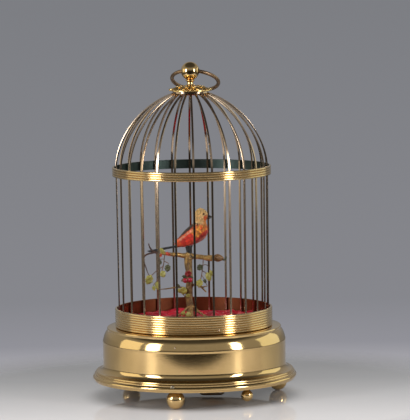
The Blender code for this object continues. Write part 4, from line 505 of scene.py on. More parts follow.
# %% Reeded bands
def reeded_band(name, inner, root, crest, low, high, reeds):
    pitch = (high - low) / reeds
    outline = [(inner, low), (root, low)]
    for i in range(reeds):
        middle = low + pitch * (i + 0.5)
        for k in range(7):
            rise = math.pi * (0.06 + 0.88 * k / 6)
            outline.append((root + (crest - root) * math.sin(rise) ** 0.8,
                            middle - 0.45 * pitch * math.cos(rise)))
        outline.append((root, low + pitch * (i + 1) - 0.01))
    outline += [(root - 0.1, high), (inner + 0.15, high), (inner, high - 0.15), (inner, low)]
    return settle(turned(name, outline, 144), 40.0)


def line_inside(piece, reach, material):
    """Gives the faces that look towards the axis their own darker material, which paints shade on them."""
    piece.data.materials.append(material)
    for face in piece.data.polygons:
        middle = Vector((face.center.x, face.center.y, 0.0))
        if middle.length < reach * MM and face.normal.dot(middle) < 0.0:
            face.material_index = 1


gallery = reeded_band("gallery_band", 60.0, 61.0, 61.62, 55.72, 70.3, 8)
finish(gallery, reeded_brass, "cage", "gallery_band", slot="polished_brass")
# Painted shade and a painted reflection of the red cloth on the gallery's inside.
line_inside(gallery, 60.5, shade_and_cloth_reflection_inside)
middle_band = reeded_band("mid_band", 60.55, 61.4, 62.05, 173.9, 181.1, 4)
finish(middle_band, reeded_brass, "cage", "mid_band", slot="polished_brass")
# Painted shade on the mid band's inside.
line_inside(middle_band, 61.0, shaded_inside)

# %% [markdown]
# Twenty-six flattened bars rise straight from the gallery and bend over the dome to a collar under the
# crown. One bar is a bevelled curve made a mesh. Its round wire is pressed flat, which leaves the edges
# soft, and the other bars are copies of it, turned round the axis.

# %% Cage bars
def rod_along(name, points, radius, sides=2, shares=None, smooth=False):
    """A round wire along points in mm; shares thin or thicken it at each point."""
    deselect()
    bpy.ops.curve.primitive_bezier_curve_add()
    piece = bpy.context.object
    piece.name = name
    line = piece.data
    line.splines.clear()
    spline = line.splines.new("NURBS" if smooth else "POLY")
    spline.points.add(len(points) - 1)
    for i, point in enumerate(points):
        spline.points[i].co = (*(c * MM for c in point), 1.0)
        spline.points[i].radius = shares[i] if shares else 1.0
    if smooth:
        spline.order_u = 4
        spline.use_endpoint_u = True
        spline.resolution_u = 6
    line.dimensions = "3D"
    line.bevel_depth = radius * MM
    line.bevel_resolution = sides
    line.use_fill_caps = True
    piece.location = (0.0, 0.0, 0.0)
    pick(piece)
    bpy.ops.object.convert(target="MESH")
    close_up()
    return bpy.context.object


def merge(first, *others):
    deselect()
    for piece in (first, *others):
        piece.select_set(True)
    bpy.context.view_layer.objects.active = first
    bpy.ops.object.join()
    return first


def round_about(piece, count, start=0.0):
    """Copies the piece round the upright axis, each copy with its own mesh, and joins them."""
    copies = []
    for i in range(1, count):
        pick(piece)
        bpy.ops.object.duplicate(linked=False)
        copy = bpy.context.object
        copy.data.transform(Matrix.Rotation(math.tau * i / count, 4, "Z"))
        copies.append(copy)
    merge(piece, *copies)
    piece.data.transform(Matrix.Rotation(math.radians(start), 4, "Z"))
    return piece


bar_count, first_bar = 26, 1.4
half_width, half_thickness = 0.85, 0.5
foot_height, foot_reach = 55.75, 58.7
spring_height, spring_reach = 180.0, 59.3
dome_rise, dome_bend, collar_reach = 60.3, 2 / 1.8, 11.6
upright_steps, dome_steps = 10, 24
path = []
for i in range(upright_steps + 1):
    climb = i / upright_steps
    path.append((0.0, -foot_reach - (spring_reach - foot_reach) * climb,
                 foot_height + (spring_height - foot_height) * climb))
for i in range(1, dome_steps + 1):
    lean = math.pi / 2 * i / dome_steps
    reach = spring_reach * math.cos(lean) ** dome_bend
    if reach > collar_reach:
        path.append((0.0, -reach, spring_height + dome_rise * math.sin(lean) ** dome_bend))
bar = rod_along("cage_bars", path, half_width, 3)
centres = [Vector(point) * MM for point in path]
for vertex in bar.data.vertices:
    nearest = min(range(len(centres)), key=lambda i: (centres[i] - vertex.co).length)
    before, after = centres[max(nearest - 1, 0)], centres[min(nearest + 1, len(centres) - 1)]
    course = (after - before).normalized()
    outwards = Vector((0.0, -course.z, course.y))
    offset = vertex.co - centres[nearest]
    high = offset.dot(outwards)
    flat = max(-half_thickness * MM, min(half_thickness * MM, high))
    vertex.co += outwards * (flat - high)
bars = round_about(bar, bar_count, first_bar)
collar = turned("collar", [(9.2, 236.9), (13.4, 236.9), (14.0, 237.5), (14.0, 239.4), (13.4, 240.05),
                           (9.2, 240.05), (9.2, 236.9)], 64)
settle(collar)
finish(settle(merge(bars, collar), 28.0), aged_wire, "cage", "cage_bars", slot="aged_brass")

# %% [markdown]
# The turned finial is a flared foot, a slim neck with a small collar and a ball, drilled for the hanging
# ring. One outline runs through all of them, as on a lathe, so no seam shows between neck and ball.

# %% Finial
ball_height, ball_radius = 255.2, 7.2
outline = [(0.0, 242.5), (4.3, 242.5), (4.4, 242.9)] + bend((4.1, 243.3), (2.7, 243.9), (2.5, 245.4), 6)
outline += bend((2.4, 246.4), (2.4, 247.0), (3.0, 247.3), 5) + arc((2.9, 247.85), 0.65, -70.0, 70.0)
outline += [(2.7, 248.55)] + arc((0.0, ball_height), ball_radius, -67.0, 90.0, 22)[:-1]
outline += [(0.0, ball_height + ball_radius)]
finial = turned("finial", outline, 64)

# %% [markdown]
# The finial's ball is drilled for the ring, and the ring itself is a bent rod that leans back in the
# hole. Handling has thinned the rod a little where it hangs, and its joint shows as a faint swelling at
# the far side. It is a torus, whose points are then moved in or out for the wear and the joint.

# %% Ring hole and hanging ring
def cut_away(piece, cutter):
    """Cuts one piece's shape out of another, and removes the cutter."""
    pick(piece)
    cut = piece.modifiers.new("cut", "BOOLEAN")
    cut.operation = "DIFFERENCE"
    cut.solver = "EXACT"
    cut.object = cutter
    bpy.ops.object.modifier_apply(modifier="cut")
    bpy.data.objects.remove(cutter)
    return piece


ring_reach, ring_thick, ring_hang = 18.3, 1.45, 17.56
hole_radius, hole_length = 2.3, 20.0
ball_centre = Vector((0.0, 0.0, ball_height * MM))
yaw = math.radians(-14.7)
slope = math.radians(28.3)
hole_axis = Vector((math.cos(yaw), math.sin(yaw), 0.0))
behind = Vector((-math.sin(yaw), math.cos(yaw), 0.0))
lean_back = behind * math.cos(slope) - Vector((0.0, 0.0, math.sin(slope)))
deselect()
bpy.ops.mesh.primitive_cylinder_add(vertices=32, radius=hole_radius * MM, depth=hole_length * MM,
                                    location=ball_centre, rotation=(0.0, math.pi / 2, yaw))
cut_away(finial, bpy.context.object)
settle(finial, 40.0)
finish(finial, polished_brass, "cage", "finial", slot="polished_brass")

deselect()
bpy.ops.mesh.primitive_torus_add(major_radius=ring_reach * MM, minor_radius=ring_thick * MM,
                                 major_segments=112, minor_segments=18)
ring = bpy.context.object
ring.name = "suspension_ring"
for vertex in ring.data.vertices:
    around = math.atan2(vertex.co.y, vertex.co.x)
    spine = Vector((ring_reach * MM * math.cos(around), ring_reach * MM * math.sin(around), 0.0))
    worn = 1.0 - 0.10 * math.exp(-(around / 0.16) ** 2)
    swelling = 0.05 * math.exp(-((math.pi - abs(around)) / 0.05) ** 2)
    hammered = 0.015 * math.sin(9.0 * around) + 0.01 * math.sin(23.0 * around + 1.0)
    vertex.co = spine + (vertex.co - spine) * (worn + swelling + hammered)
out = -lean_back
stand = Matrix((out, hole_axis, out.cross(hole_axis))).transposed().to_4x4()
stand.translation = ball_centre + lean_back * ring_hang * MM
ring.data.transform(stand)
settle(ring, 60.0)
finish(ring, ring_bronze, "ring", "suspension_ring", slot="aged_brass")

# %% [markdown]
# The crown is a stamped rosette over a shallow dome: two rounds of pointed leaves with beads between
# their tips. One leaf is a disc drawn long, then inset for its rim, its hollow and its raised midrib, and
# copied round.

# %% Crown rosette
def inset_disc(name, corners, width, length, insets):
    """A long disc, inset by steps of (inwards, upwards), all in mm."""
    deselect()
    bpy.ops.mesh.primitive_circle_add(vertices=corners, radius=1.0, fill_type="NGON")
    piece = bpy.context.object
    piece.name = name
    bpy.ops.object.mode_set(mode="EDIT")
    bpy.ops.mesh.select_all(action="SELECT")
    bpy.ops.transform.resize(value=(width / 2 * MM, length / 2 * MM, 1.0))
    for inwards, upwards in insets:
        bpy.ops.mesh.inset(thickness=inwards * MM, depth=upwards * MM)
    bpy.ops.object.mode_set(mode="OBJECT")
    return piece


def stamped_leaf(name, length, width, hollow, rib):
    piece = inset_disc(name, 18, width, length, (
        (0.09 * width, 0.0), (0.10 * width, -hollow), (0.12 * width, 0.0), (0.08 * width, rib)))
    for vertex in piece.data.vertices:
        along = vertex.co.y / (length / 2 * MM)
        vertex.co.x *= 1.0 - 0.75 * max(0.0, along) ** 3 + 0.12 * math.sin(9.0 * along)
        vertex.co.z += 0.05 * length * MM * along * along
    thicken(piece, 0.5, 0.0, True)
    return piece


def lay_radial(piece, reach, height, lean):
    """Turns a leaf's tip outwards at the front, leans it and puts it in place."""
    place = Matrix.Translation((0.0, -reach * MM, height * MM))
    leaned = Matrix.Rotation(math.radians(lean), 4, "X")
    piece.data.transform(place @ leaned @ Matrix.Rotation(math.pi, 4, "Z"))
    return piece


def bead_ring(segments, rings, radius, reach, height, count, start=0.0):
    """Small balls in a ring about the upright axis, their radius, reach and height in mm."""
    deselect()
    bpy.ops.mesh.primitive_uv_sphere_add(segments=segments, ring_count=rings, radius=radius * MM,
                                         location=(0.0, -reach * MM, height * MM))
    bead = bpy.context.object
    bpy.ops.object.transform_apply(location=True)
    return round_about(bead, count, start)


dome = turned("crown_plate", [(3.0, 240.2), (15.6, 239.9), (16.5, 240.0), (16.4, 240.5), (14.6, 241.0),
                              (12.2, 241.9), (10.6, 242.6), (9.8, 243.1), (8.4, 243.3), (6.8, 243.4),
                              (5.6, 243.3), (4.6, 242.9), (3.0, 242.9), (3.0, 240.2)], 96)
outer = round_about(lay_radial(stamped_leaf("outer_leaf", 7.6, 4.5, 0.5, 0.6), 13.2, 241.7, 17.0), 14)
inner = round_about(lay_radial(stamped_leaf("inner_leaf", 4.8, 3.2, 0.35, 0.5), 9.0, 243.3, 10.0), 10, 18.0)
beads = bead_ring(10, 6, 0.8, 16.1, 240.7, 14, 180.0 / 14)
small_beads = bead_ring(8, 5, 0.4, 6.4, 243.6, 20)
crown = settle(merge(dome, outer, inner, beads, small_beads), 45.0)
finish(crown, cast_brass, "cage", "crown_plate", slot="aged_brass")

# %% [markdown]
# Three turned balls carry the cage. Each has a short neck into the plate and a small flat worn under it.
# Slotted screws hold the base to its bottom plate and the gallery to its ledge. All are turned outlines,
# and a thin box cuts each slot, because a slot runs out through the round edge of the head.

# %% Feet and screws
def around_axis(azimuth, reach, height):
    """A place in mm by its azimuth from the front, its distance from the axis and its height."""
    turn_to = math.radians(azimuth)
    return (reach * math.sin(turn_to) * MM, -reach * math.cos(turn_to) * MM, height * MM)


foot_radius, feet_reach = 7.15, 69.0
outline = [(0.0, 0.0), (1.4, 0.02)] + arc((0.0, foot_radius), foot_radius, -76.0, 66.0, 22)
outline += [(2.7, 14.0), (2.5, 14.35), (1.6, 14.35), (1.6, 15.6), (0.0, 15.6)]
for number, azimuth in enumerate((-12.5, 107.5, -132.5), 1):
    foot = turned(f"foot_{number}", outline, 56, around_axis(azimuth, feet_reach, 0.0))
    finish(settle(foot, 38.0), polished_brass, "cage", f"foot_{number}", slot="polished_brass")


def slotted_screw(name, head, rise, azimuth, reach, height, slot_turn):
    """A round-headed screw that faces outwards."""
    outline = [(0.0, -2.0), (head * 0.6, -2.0), (head * 0.6, 0.0), (head, 0.0), (head, rise * 0.35)]
    outline += bend((head * 0.97, rise * 0.5), (head * 0.8, rise), (0.0, rise), 5)
    piece = turned(name, outline, 24)
    deselect()
    bpy.ops.mesh.primitive_cube_add(size=1.0, location=(0.0, 0.0, rise * MM),
                                    rotation=(0.0, 0.0, slot_turn))
    bpy.context.object.scale = (head * 3.0 * MM, head * 0.3 * MM, rise * 1.1 * MM)
    cut_away(piece, bpy.context.object)
    piece.rotation_euler = (math.pi / 2, 0.0, math.radians(azimuth))
    piece.location = around_axis(azimuth, reach, height)
    return settle(piece, 35.0)


for number in (1, 2, 3):
    low, high = (Vector(corner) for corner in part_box(f"rim_screw_{number}"))
    middle = (low + high) / 2
    azimuth = math.degrees(math.atan2(middle.x, -middle.y))
    screw = slotted_screw(f"rim_screw_{number}", 1.7, 0.9, azimuth, 78.6, 17.9, 0.4 + number)
    finish(screw, screw_steel, "cage", f"rim_screw_{number}", slot="aged_brass")
small = [slotted_screw(f"gallery_screw_{i}", 0.95, 0.5, 18.0 + 120.0 * i, 61.5, 58.9, 0.7 * i)
         for i in range(3)]
finish(merge(*small), aged_wire, "cage", slot="aged_brass")
dots = [slotted_screw(f"shoulder_pin_{i}", 0.6, 0.25, azimuth, 71.05, 47.6, 0.0)
        for i, azimuth in enumerate((-12.0, 108.0, 228.0))]
finish(merge(*dots), aged_wire, "cage", slot="aged_brass")

# %% [markdown]
# Under the base sit the start lever with its ball knob and the folding key's bow. The lever is a strip
# with rounded ends, so a cube is drawn long and its upright edges are bevelled round.

# %% Lever and key
def strip(name, first, last, width, low, thick):
    """A flat bar with round ends between two points in mm."""
    first = Vector((*first, 0.0)) * MM
    last = Vector((*last, 0.0)) * MM
    run = last - first
    deselect()
    bpy.ops.mesh.primitive_cube_add(size=1.0)
    piece = bpy.context.object
    piece.name = name
    piece.scale = (run.length + width * MM, width * MM, thick * MM)
    bpy.ops.object.transform_apply(scale=True)
    rounding = piece.modifiers.new("rounding", "BEVEL")
    rounding.limit_method = "WEIGHT"
    rounding.width = width * 0.49 * MM
    rounding.segments = 5
    weights = piece.data.attributes.new("bevel_weight_edge", "FLOAT", "EDGE")
    for edge in piece.data.edges:
        a, b = (piece.data.vertices[i].co for i in edge.vertices)
        weights.data[edge.index].value = 1.0 if abs(a.z - b.z) > thick * 0.5 * MM else 0.0
    edges = piece.modifiers.new("edges", "BEVEL")
    edges.limit_method = "ANGLE"
    edges.angle_limit = math.radians(50.0)
    edges.width = min(0.25, thick * 0.2) * MM
    edges.segments = 2
    apply_all(piece)
    piece.rotation_euler = (0.0, 0.0, math.atan2(run.y, run.x))
    middle = (first + last) / 2
    piece.location = (middle.x, middle.y, (low + thick / 2) * MM)
    return piece


knob_at = around_axis(37.0, 66.5, 0.0)
knob_mm = (knob_at[0] / MM, knob_at[1] / MM)
lever = strip("start_lever", (26.0, -36.0), knob_mm, 4.0, 12.2, 1.2)
tail = strip("lever_tail", (13.0, -36.0), (26.0, -36.0), 3.6, 12.2, 1.2)
stud = turned("lever_stud", [(0.0, 11.4), (2.2, 11.4), (2.4, 11.7), (2.4, 12.4), (1.6, 12.4), (1.6, 16.6),
                             (0.0, 16.6)], 24, (26.0 * MM, -36.0 * MM, 0.0))
pin = turned("lever_pin", [(0.0, 12.4), (0.8, 12.4), (0.8, 18.2), (0.0, 18.2)], 16,
             (13.0 * MM, -36.0 * MM, 0.0))
outline = [(0.0, 2.9)] + arc((0.0, 7.5), 4.6, -84.0, 62.0, 16)
outline += [(1.9, 11.9), (1.5, 12.1), (1.5, 12.7), (0.0, 12.7)]
knob = turned("lever_knob", outline, 40, knob_at)
finish(settle(merge(lever, tail, stud, pin, knob), 35.0), polished_brass, "start_lever", "start_lever",
       slot="aged_brass")

bow = strip("winding_key", (6.8, -8.0), (19.8, -8.0), 6.9, 0.0, 1.8)
settle(bow)
for middle in (6.5, -6.5):
    deselect()
    bpy.ops.mesh.primitive_cylinder_add(vertices=24, radius=1.8 * MM, depth=9.0 * MM,
                                        location=((13.3 + middle) * MM, -8.0 * MM, 0.9 * MM))
    cut_away(bow, bpy.context.object)
bow.data.transform(Matrix.Translation((0.0, -8.0 * MM, 4.5 * MM)) @ Matrix.Rotation(math.pi / 2, 4, "X")
                   @ Matrix.Translation((0.0, 8.0 * MM, -0.9 * MM)))
socket = turned("key_socket", [(0.0, 6.2), (1.4, 6.5), (2.2, 8.0), (3.1, 8.6), (3.1, 13.4), (1.9, 13.4),
                               (1.9, 9.3), (0.0, 9.3)], 32, (13.3 * MM, -8.0 * MM, 0.0))
finish(settle(merge(bow, socket), 35.0), aged_wire, "winder", "winding_key", slot="aged_brass")

# %% [markdown]
# A crushed satin cloth lines the cage's floor: a round piece nearly a quarter wider than the floor, tacked
# down at points, so that it stands up in folds between them. A cloth simulation makes such folds better
# than any noise: the cloth grows while its rim and its tacks stay put. It runs twenty times too large,
# where the solver is steady.

# %% Floor cloth
cloth_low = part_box("deck_plate")[1][2]
cloth_reach = 56.3 * MM


def on_disc(x, y):
    """The place on a round disc of a place on a square, both from -1 to 1."""
    return Vector((x * math.sqrt(1.0 - y * y / 2.0), y * math.sqrt(1.0 - x * x / 2.0), 0.0))


def crushed_cloth():
    """Lets a flat disc of cloth grow between its tacks until it stands in folds."""
    blow_up = 20.0
    reach = cloth_reach * blow_up
    cloth = grid("floor_cloth", 96, 96, 2.0 * reach)
    random.seed(5)
    tacks = [(-3.2 * MM * blow_up, 0.0)]
    for share, count in ((0.36, 5), (0.68, 9)):
        for i in range(count):
            turn_to = math.tau * (i + random.uniform(-0.3, 0.3)) / count
            far = reach * (share + random.uniform(-0.06, 0.06))
            tacks.append((far * math.cos(turn_to), far * math.sin(turn_to)))
    held = []
    for vertex in cloth.data.vertices:
        flat = on_disc(vertex.co.x / reach, vertex.co.y / reach)
        wave = noise.noise(flat * 3.2 + Vector((1.7, 0.3, 0.0))) + 0.5 * noise.noise(flat * 7.0)
        vertex.co = flat * reach + Vector((0.0, 0.0, 0.05 + 0.05 * wave))
        at_rim = flat.length > 0.985
        tacked = any(math.hypot(vertex.co.x - a, vertex.co.y - b) < reach * 0.02 for a, b in tacks)
        if tacked:
            vertex.co.z = -0.01
        if at_rim or tacked:
            held.append(vertex.index)
    pins = cloth.vertex_groups.new(name="pins")
    pins.add(held, 1.0, "REPLACE")
    deselect()
    bpy.ops.mesh.primitive_plane_add(size=6.0 * reach, location=(0.0, 0.0, -0.03))
    under = bpy.context.object
    under.modifiers.new("solid", "COLLISION")
    under.collision.thickness_outer = 0.01
    under.collision.cloth_friction = 5.0
    fold = cloth.modifiers.new("fold", "CLOTH")
    fold.settings.quality = 5
    fold.settings.mass = 0.15
    fold.settings.tension_stiffness = 15.0
    fold.settings.compression_stiffness = 15.0
    fold.settings.shear_stiffness = 6.0
    fold.settings.bending_stiffness = 0.6
    fold.settings.effector_weights.gravity = 0.3
    fold.settings.vertex_group_mass = "pins"
    fold.settings.shrink_min = -0.25
    fold.collision_settings.distance_min = 0.008
    fold.collision_settings.use_self_collision = False
    fold.point_cache.frame_end = 40
    for number in range(1, 41):
        bpy.context.scene.frame_set(number)
    pick(cloth)
    bpy.ops.object.modifier_apply(modifier="fold")
    bpy.context.scene.frame_set(1)
    bpy.data.objects.remove(under)
    cloth.data.transform(Matrix.Scale(1.0 / blow_up, 4))
    return cloth


cloth = crushed_cloth()
lowest = min(vertex.co.z for vertex in cloth.data.vertices)
tallest = max(vertex.co.z for vertex in cloth.data.vertices) - lowest
flatten = min(1.0, 7.6 * MM / tallest)
for vertex in cloth.data.vertices:
    vertex.co.z = cloth_low + 0.4 * MM + (vertex.co.z - lowest) * flatten
    beyond = math.hypot(vertex.co.x, vertex.co.y) / (56.9 * MM)
    if beyond > 1.0:
        vertex.co.x /= beyond
        vertex.co.y /= beyond
thicken(cloth, 0.25, rounded=True)
finish(settle(cloth, 80.0), crimson_satin, "cage", "floor_cloth", slot="crimson_cloth")

# %% [markdown]
# The perch is a cast and gilded branch: a gnarled trunk, a crooked branch with knots, low twigs and thin
# roots. Each limb is a wire whose thickness changes along it. Remeshed together they grow into one
# another, and a clouds texture then pushes the surface in and out like bark.

# %% Perch
def add_bark(piece, name, grain, depth):
    """Pushes the surface in and out by clouds, grain and depth in mm."""
    clouds = bpy.data.textures.new(name, "CLOUDS")
    clouds.noise_scale = grain * MM
    push = piece.modifiers.new(name, "DISPLACE")
    push.texture = clouds
    push.texture_coords = "LOCAL"
    push.strength = depth * MM


def gnarled(name, limbs, voxel, bark, grain):
    """Limbs, each of (points in mm, radius in mm, shares), grown together under bark."""
    grown = [rod_along(name, points, radius, 3, shares, True) for points, radius, shares in limbs]
    piece = merge(*grown) if len(grown) > 1 else grown[0]
    fuse = piece.modifiers.new("fuse", "REMESH")
    fuse.mode = "VOXEL"
    fuse.voxel_size = voxel * MM
    soften = piece.modifiers.new("soften", "SMOOTH")
    soften.factor = 0.5
    soften.iterations = 3
    add_bark(piece, name + "_bark", grain, bark)
    add_bark(piece, name + "_fine_bark", grain * 0.35, bark * 0.45)
    apply_all(piece)
    return piece


trunk_path = [(-2.4, -0.6, 59.2), (-2.9, -0.3, 64.0), (-2.5, 0.3, 70.0), (-3.6, 0.4, 76.0),
              (-3.9, -0.2, 82.0), (-2.9, -0.5, 88.0), (-2.5, 0.1, 94.0), (-3.6, 0.5, 100.0),
              (-4.0, 0.2, 105.0), (-3.4, -0.1, 109.5)]
limbs = [
    (trunk_path, 2.7, [1.5, 1.15, 0.95, 1.1, 0.95, 1.12, 0.95, 1.05, 1.15, 1.35]),
    ([(-25.6, -5.4, 113.4), (-21.5, -5.2, 113.2), (-17.0, -4.4, 111.8), (-12.6, -3.2, 112.0),
      (-8.0, -1.6, 110.6), (-3.2, -0.4, 110.4), (1.5, 0.2, 109.4), (6.0, 0.4, 109.5), (10.5, 0.1, 108.2),
      (14.5, 0.0, 108.2), (18.2, -0.3, 108.0)],
     1.8, [0.55, 0.8, 0.85, 1.05, 0.95, 1.5, 1.2, 1.0, 1.1, 1.6, 0.9]),
    ([(-3.8, -1.6, 109.4), (-4.3, -2.2, 111.4), (-3.9, -2.0, 113.0)], 2.0, [0.8, 1.15, 0.8]),
    ([(13.2, -0.8, 108.0), (14.9, -1.2, 109.4), (16.2, -0.6, 109.0)], 1.9, [0.7, 1.15, 0.6]),
    ([(-18.6, -4.8, 111.6), (-19.6, -5.3, 113.2), (-20.9, -5.6, 113.8)], 0.9, [0.9, 0.9, 0.5]),
    ([(-3.2, -0.4, 82.6), (-7.4, -0.8, 85.4), (-11.5, -1.1, 86.4), (-16.5, -1.4, 85.4), (-21.0, -1.2, 84.7),
      (-25.9, -1.0, 84.3)], 0.75, [1.6, 1.1, 0.9, 0.8, 0.7, 0.5]),
    ([(-3.0, -0.5, 84.6), (-0.6, -0.9, 87.6), (2.4, -1.3, 88.3), (5.5, -1.4, 86.8), (7.6, -1.2, 84.2),
      (10.1, -1.0, 81.6)], 0.8, [1.6, 1.1, 0.9, 0.9, 0.95, 0.7]),
    ([(6.4, -1.3, 85.6), (8.8, -1.6, 86.0), (11.2, -1.3, 86.4)], 0.5, [1.1, 0.9, 0.6]),
    ([(-4.6, -0.8, 77.0), (-6.0, -1.6, 78.2), (-7.0, -2.2, 79.0)], 0.7, [1.4, 1.0, 0.7]),
]
perch = gnarled("perch", limbs, 0.3, 0.55, 2.6)

# %% [markdown]
# The roots are thin gilded wires that leave the trunk a little above the cloth and run down into its
# folds. Each one is its own small limb, because a voxel wide enough for the trunk would lose it.

# %% Roots
root_runs = [
    [(-3.4, -1.4, 70.5), (-6.6, -3.0, 69.0), (-9.8, -5.0, 65.8), (-9.2, -7.4, 62.2), (-11.5, -10.5, 59.4)],
    [(-2.6, -1.8, 69.0), (-1.8, -4.6, 67.0), (-1.6, -7.2, 64.2), (-3.2, -10.8, 61.4), (-2.4, -14.0, 59.6)],
    [(-2.0, -0.8, 71.0), (1.2, -2.0, 70.2), (3.2, -3.4, 66.8), (6.8, -5.2, 65.4), (9.4, -8.0, 61.8),
     (13.0, -10.4, 59.8)],
    [(-1.6, 0.4, 68.0), (2.6, 1.4, 66.0), (7.6, 2.0, 63.6), (12.4, 3.8, 60.6)],
    [(-4.4, 0.6, 68.4), (-8.8, 2.2, 65.6), (-12.8, 2.6, 62.4), (-16.8, 4.6, 60.0)],
    [(-3.0, 1.8, 67.0), (-2.0, 5.4, 64.4), (-3.4, 9.6, 61.0)],
]
roots = [rod_along("roots", run, 0.62, 3, [1.5] + [0.9, 1.05] * 4, True) for run in root_runs]
roots = merge(*roots)
add_bark(roots, "root_bark", 1.4, 0.35)
apply_all(roots)
finish(settle(merge(perch, roots), 60.0), gilded_branch, "cage", "perch", slot="gilded_branch")
tall_twig = [(-26.3, -5.8, 113.3), (-30.2, -6.3, 114.2), (-33.2, -6.8, 116.6), (-34.0, -7.0, 119.4),
             (-34.5, -7.0, 121.5)]
droop = [(-29.6, -6.2, 114.2), (-34.0, -6.6, 113.4), (-38.2, -6.8, 112.2), (-38.7, -6.7, 108.6),
         (-37.7, -6.6, 104.4), (-36.4, -6.5, 101.4), (-35.9, -6.4, 99.4)]
twig = gnarled("left_twig", [(tall_twig, 0.8, [1.3, 1.1, 0.9, 0.75, 0.5]),
                             (droop, 0.7, [1.2, 1.0, 1.0, 0.9, 0.8, 0.7, 0.5])],
               0.22, 0.25, 1.4)
finish(settle(twig, 60.0), bare_twig, "cage", "left_twig", slot="gilded_branch")

# %% [markdown]
# A cone sits at the branch's right end with a dark curled leaf behind it. The cone is one scale, copied
# in a spiral over a small core, largest in the middle and smallest at the tip.

# %% Cone
def cone_scale():
    piece = inset_disc("cone_scale", 10, 1.7, 2.3, ((0.22, 0.10), (0.25, 0.06)))
    for vertex in piece.data.vertices:
        vertex.co.x *= 1.0 - 0.35 * max(0.0, vertex.co.y / (1.15 * MM))
    thicken(piece, 0.3)
    return piece


scale_piece = cone_scale()
core = turned("cone", [(0.0, 0.0), (1.6, 0.4), (2.3, 2.0), (2.1, 4.4), (1.0, 6.4), (0.0, 7.0)], 16)
scales = []
scale_count, spiral_turn = 44, 2.39996
for i in range(scale_count):
    climb = i / scale_count
    copy = scale_piece.copy()
    copy.data = scale_piece.data.copy()
    bpy.context.collection.objects.link(copy)
    girth = 2.55 * math.sin(math.pi * (0.16 + 0.80 * climb)) ** 0.7
    size = 0.75 + 0.5 * math.sin(math.pi * (0.2 + 0.7 * climb))
    outwards = Matrix.Rotation(math.radians(62.0), 4, "Y") @ Matrix.Rotation(math.pi / 2, 4, "Z")
    place = Matrix.Translation((girth * MM, 0.0, (0.6 + 6.0 * climb) * MM))
    copy.data.transform(Matrix.Rotation(i * spiral_turn, 4, "Z") @ place @ outwards @ Matrix.Scale(size, 4))
    scales.append(copy)
bpy.data.objects.remove(scale_piece)
cone = merge(core, *scales)
cone.rotation_euler = (0.0, math.radians(96.0), 0.0)
cone.location = (17.0 * MM, -0.4 * MM, 108.6 * MM)
finish(settle(cone, 50.0), cone_brown, "cage", slot="gilded_branch")
curl = rod_along("curled_leaf", [(22.6, -0.5, 107.2), (24.0, -0.6, 106.6), (25.4, -0.7, 107.2),
                                 (26.2, -0.8, 108.4), (26.5, -0.8, 109.4)],
                0.75, 3, [0.6, 1.1, 1.1, 0.8, 0.2], True)
finish(settle(curl, 60.0), dark_leaf, "cage", slot="painted_leaf")

# %% [markdown]
# The leaves are cut from stiffened cloth and painted. A leaf is a small grid with its own UV map: its
# edge is drawn in to lobes, it is folded a little along its midrib, arched from root to tip, and given a
# thin wall. A flat card with a picture would be less work, but it would look thin as paper from the side.

# %% Leaves
def leaf(name, root, tip, width, fold=0.25, lobes=5, twist=0.0, arch=0.14, across=7, along=12):
    root = Vector(root) * MM
    tip = Vector(tip) * MM
    run = tip - root
    side = run.cross(Vector((math.sin(twist), math.cos(twist), 0.0))).normalized()
    face = run.cross(side).normalized()
    if face.y > 0:
        face = -face
    piece = grid(name, across, along)
    for vertex in piece.data.vertices:
        u = (vertex.co.y + 1.0) / 2.0
        v = vertex.co.x
        belly = max(0.0, math.sin(math.pi * min(1.0, u ** 0.75))) ** 0.85
        teeth = 1.0 + 0.30 * math.cos(2.0 * math.pi * lobes * u + 0.6) * (0.3 + 0.7 * abs(v))
        half = width / 2 * MM * max(0.03, belly * teeth)
        slant = 0.10 * run.length * abs(v) * math.sin(math.pi * u)
        ruffle = 0.05 * width * MM * math.sin(9.0 * u + 3.0 * v)
        lift = arch * run.length * math.sin(math.pi * u) - fold * half * abs(v) + ruffle
        vertex.co = root + run * u + run.normalized() * slant + side * (v * half) + face * lift
    thicken(piece, 0.16, 0.0, True)
    return piece


def leaves_of(*rows):
    """Leaves from rows of root, tip, width, fold, lobes and twist."""
    return [leaf("leaf", *row) for row in rows]


def stem(points, radius=0.32):
    return rod_along("stem", points, radius, 2, None, True)


left_stems = [
    stem([(-22.0, -5.2, 112.4), (-22.6, -5.6, 107.5), (-23.0, -5.6, 104.0), (-24.4, -5.6, 99.5),
          (-25.6, -5.4, 95.6), (-29.0, -5.0, 90.6)], 0.36),
    stem([(-23.3, -5.6, 103.0), (-26.0, -5.6, 101.6), (-29.5, -4.8, 99.0), (-33.4, -4.4, 95.0)]),
    stem([(-22.6, -5.4, 106.8), (-20.8, -5.9, 106.6), (-19.0, -5.6, 105.0)]),
    stem([(-22.4, -5.6, 108.6), (-24.6, -6.2, 109.2), (-26.8, -6.2, 108.0)], 0.28),
    stem([(-36.0, -6.4, 99.6), (-35.4, -5.6, 97.4), (-34.2, -4.8, 95.8)], 0.3),
    stem([(-29.0, -5.0, 90.6), (-31.0, -5.2, 89.0), (-31.6, -5.0, 87.2)], 0.25),
]
left_leaves = leaves_of(
    ((-32.8, -4.8, 96.4), (-36.4, -5.2, 88.8), 6.4, 0.2, 4, -0.3),
    ((-28.8, -5.2, 91.0), (-26.8, -5.8, 84.2), 4.6, 0.3, 4, 0.2),
    ((-24.8, -5.6, 99.6), (-22.6, -6.6, 94.4), 5.4, 0.2, 4, 0.4),
    ((-22.6, -5.9, 112.6), (-25.4, -6.6, 117.6), 3.6, 0.3, 3, 0.2),
    ((-31.4, -5.1, 88.0), (-30.4, -5.6, 83.8), 3.0, 0.3, 3, 0.1))
left_dark = leaves_of(
    ((-19.4, -5.8, 104.6), (-20.4, -6.4, 98.6), 4.8, 0.3, 4, 0.1),
    ((-26.6, -6.3, 108.4), (-25.0, -6.8, 104.6), 2.8, 0.3, 3, -0.3))
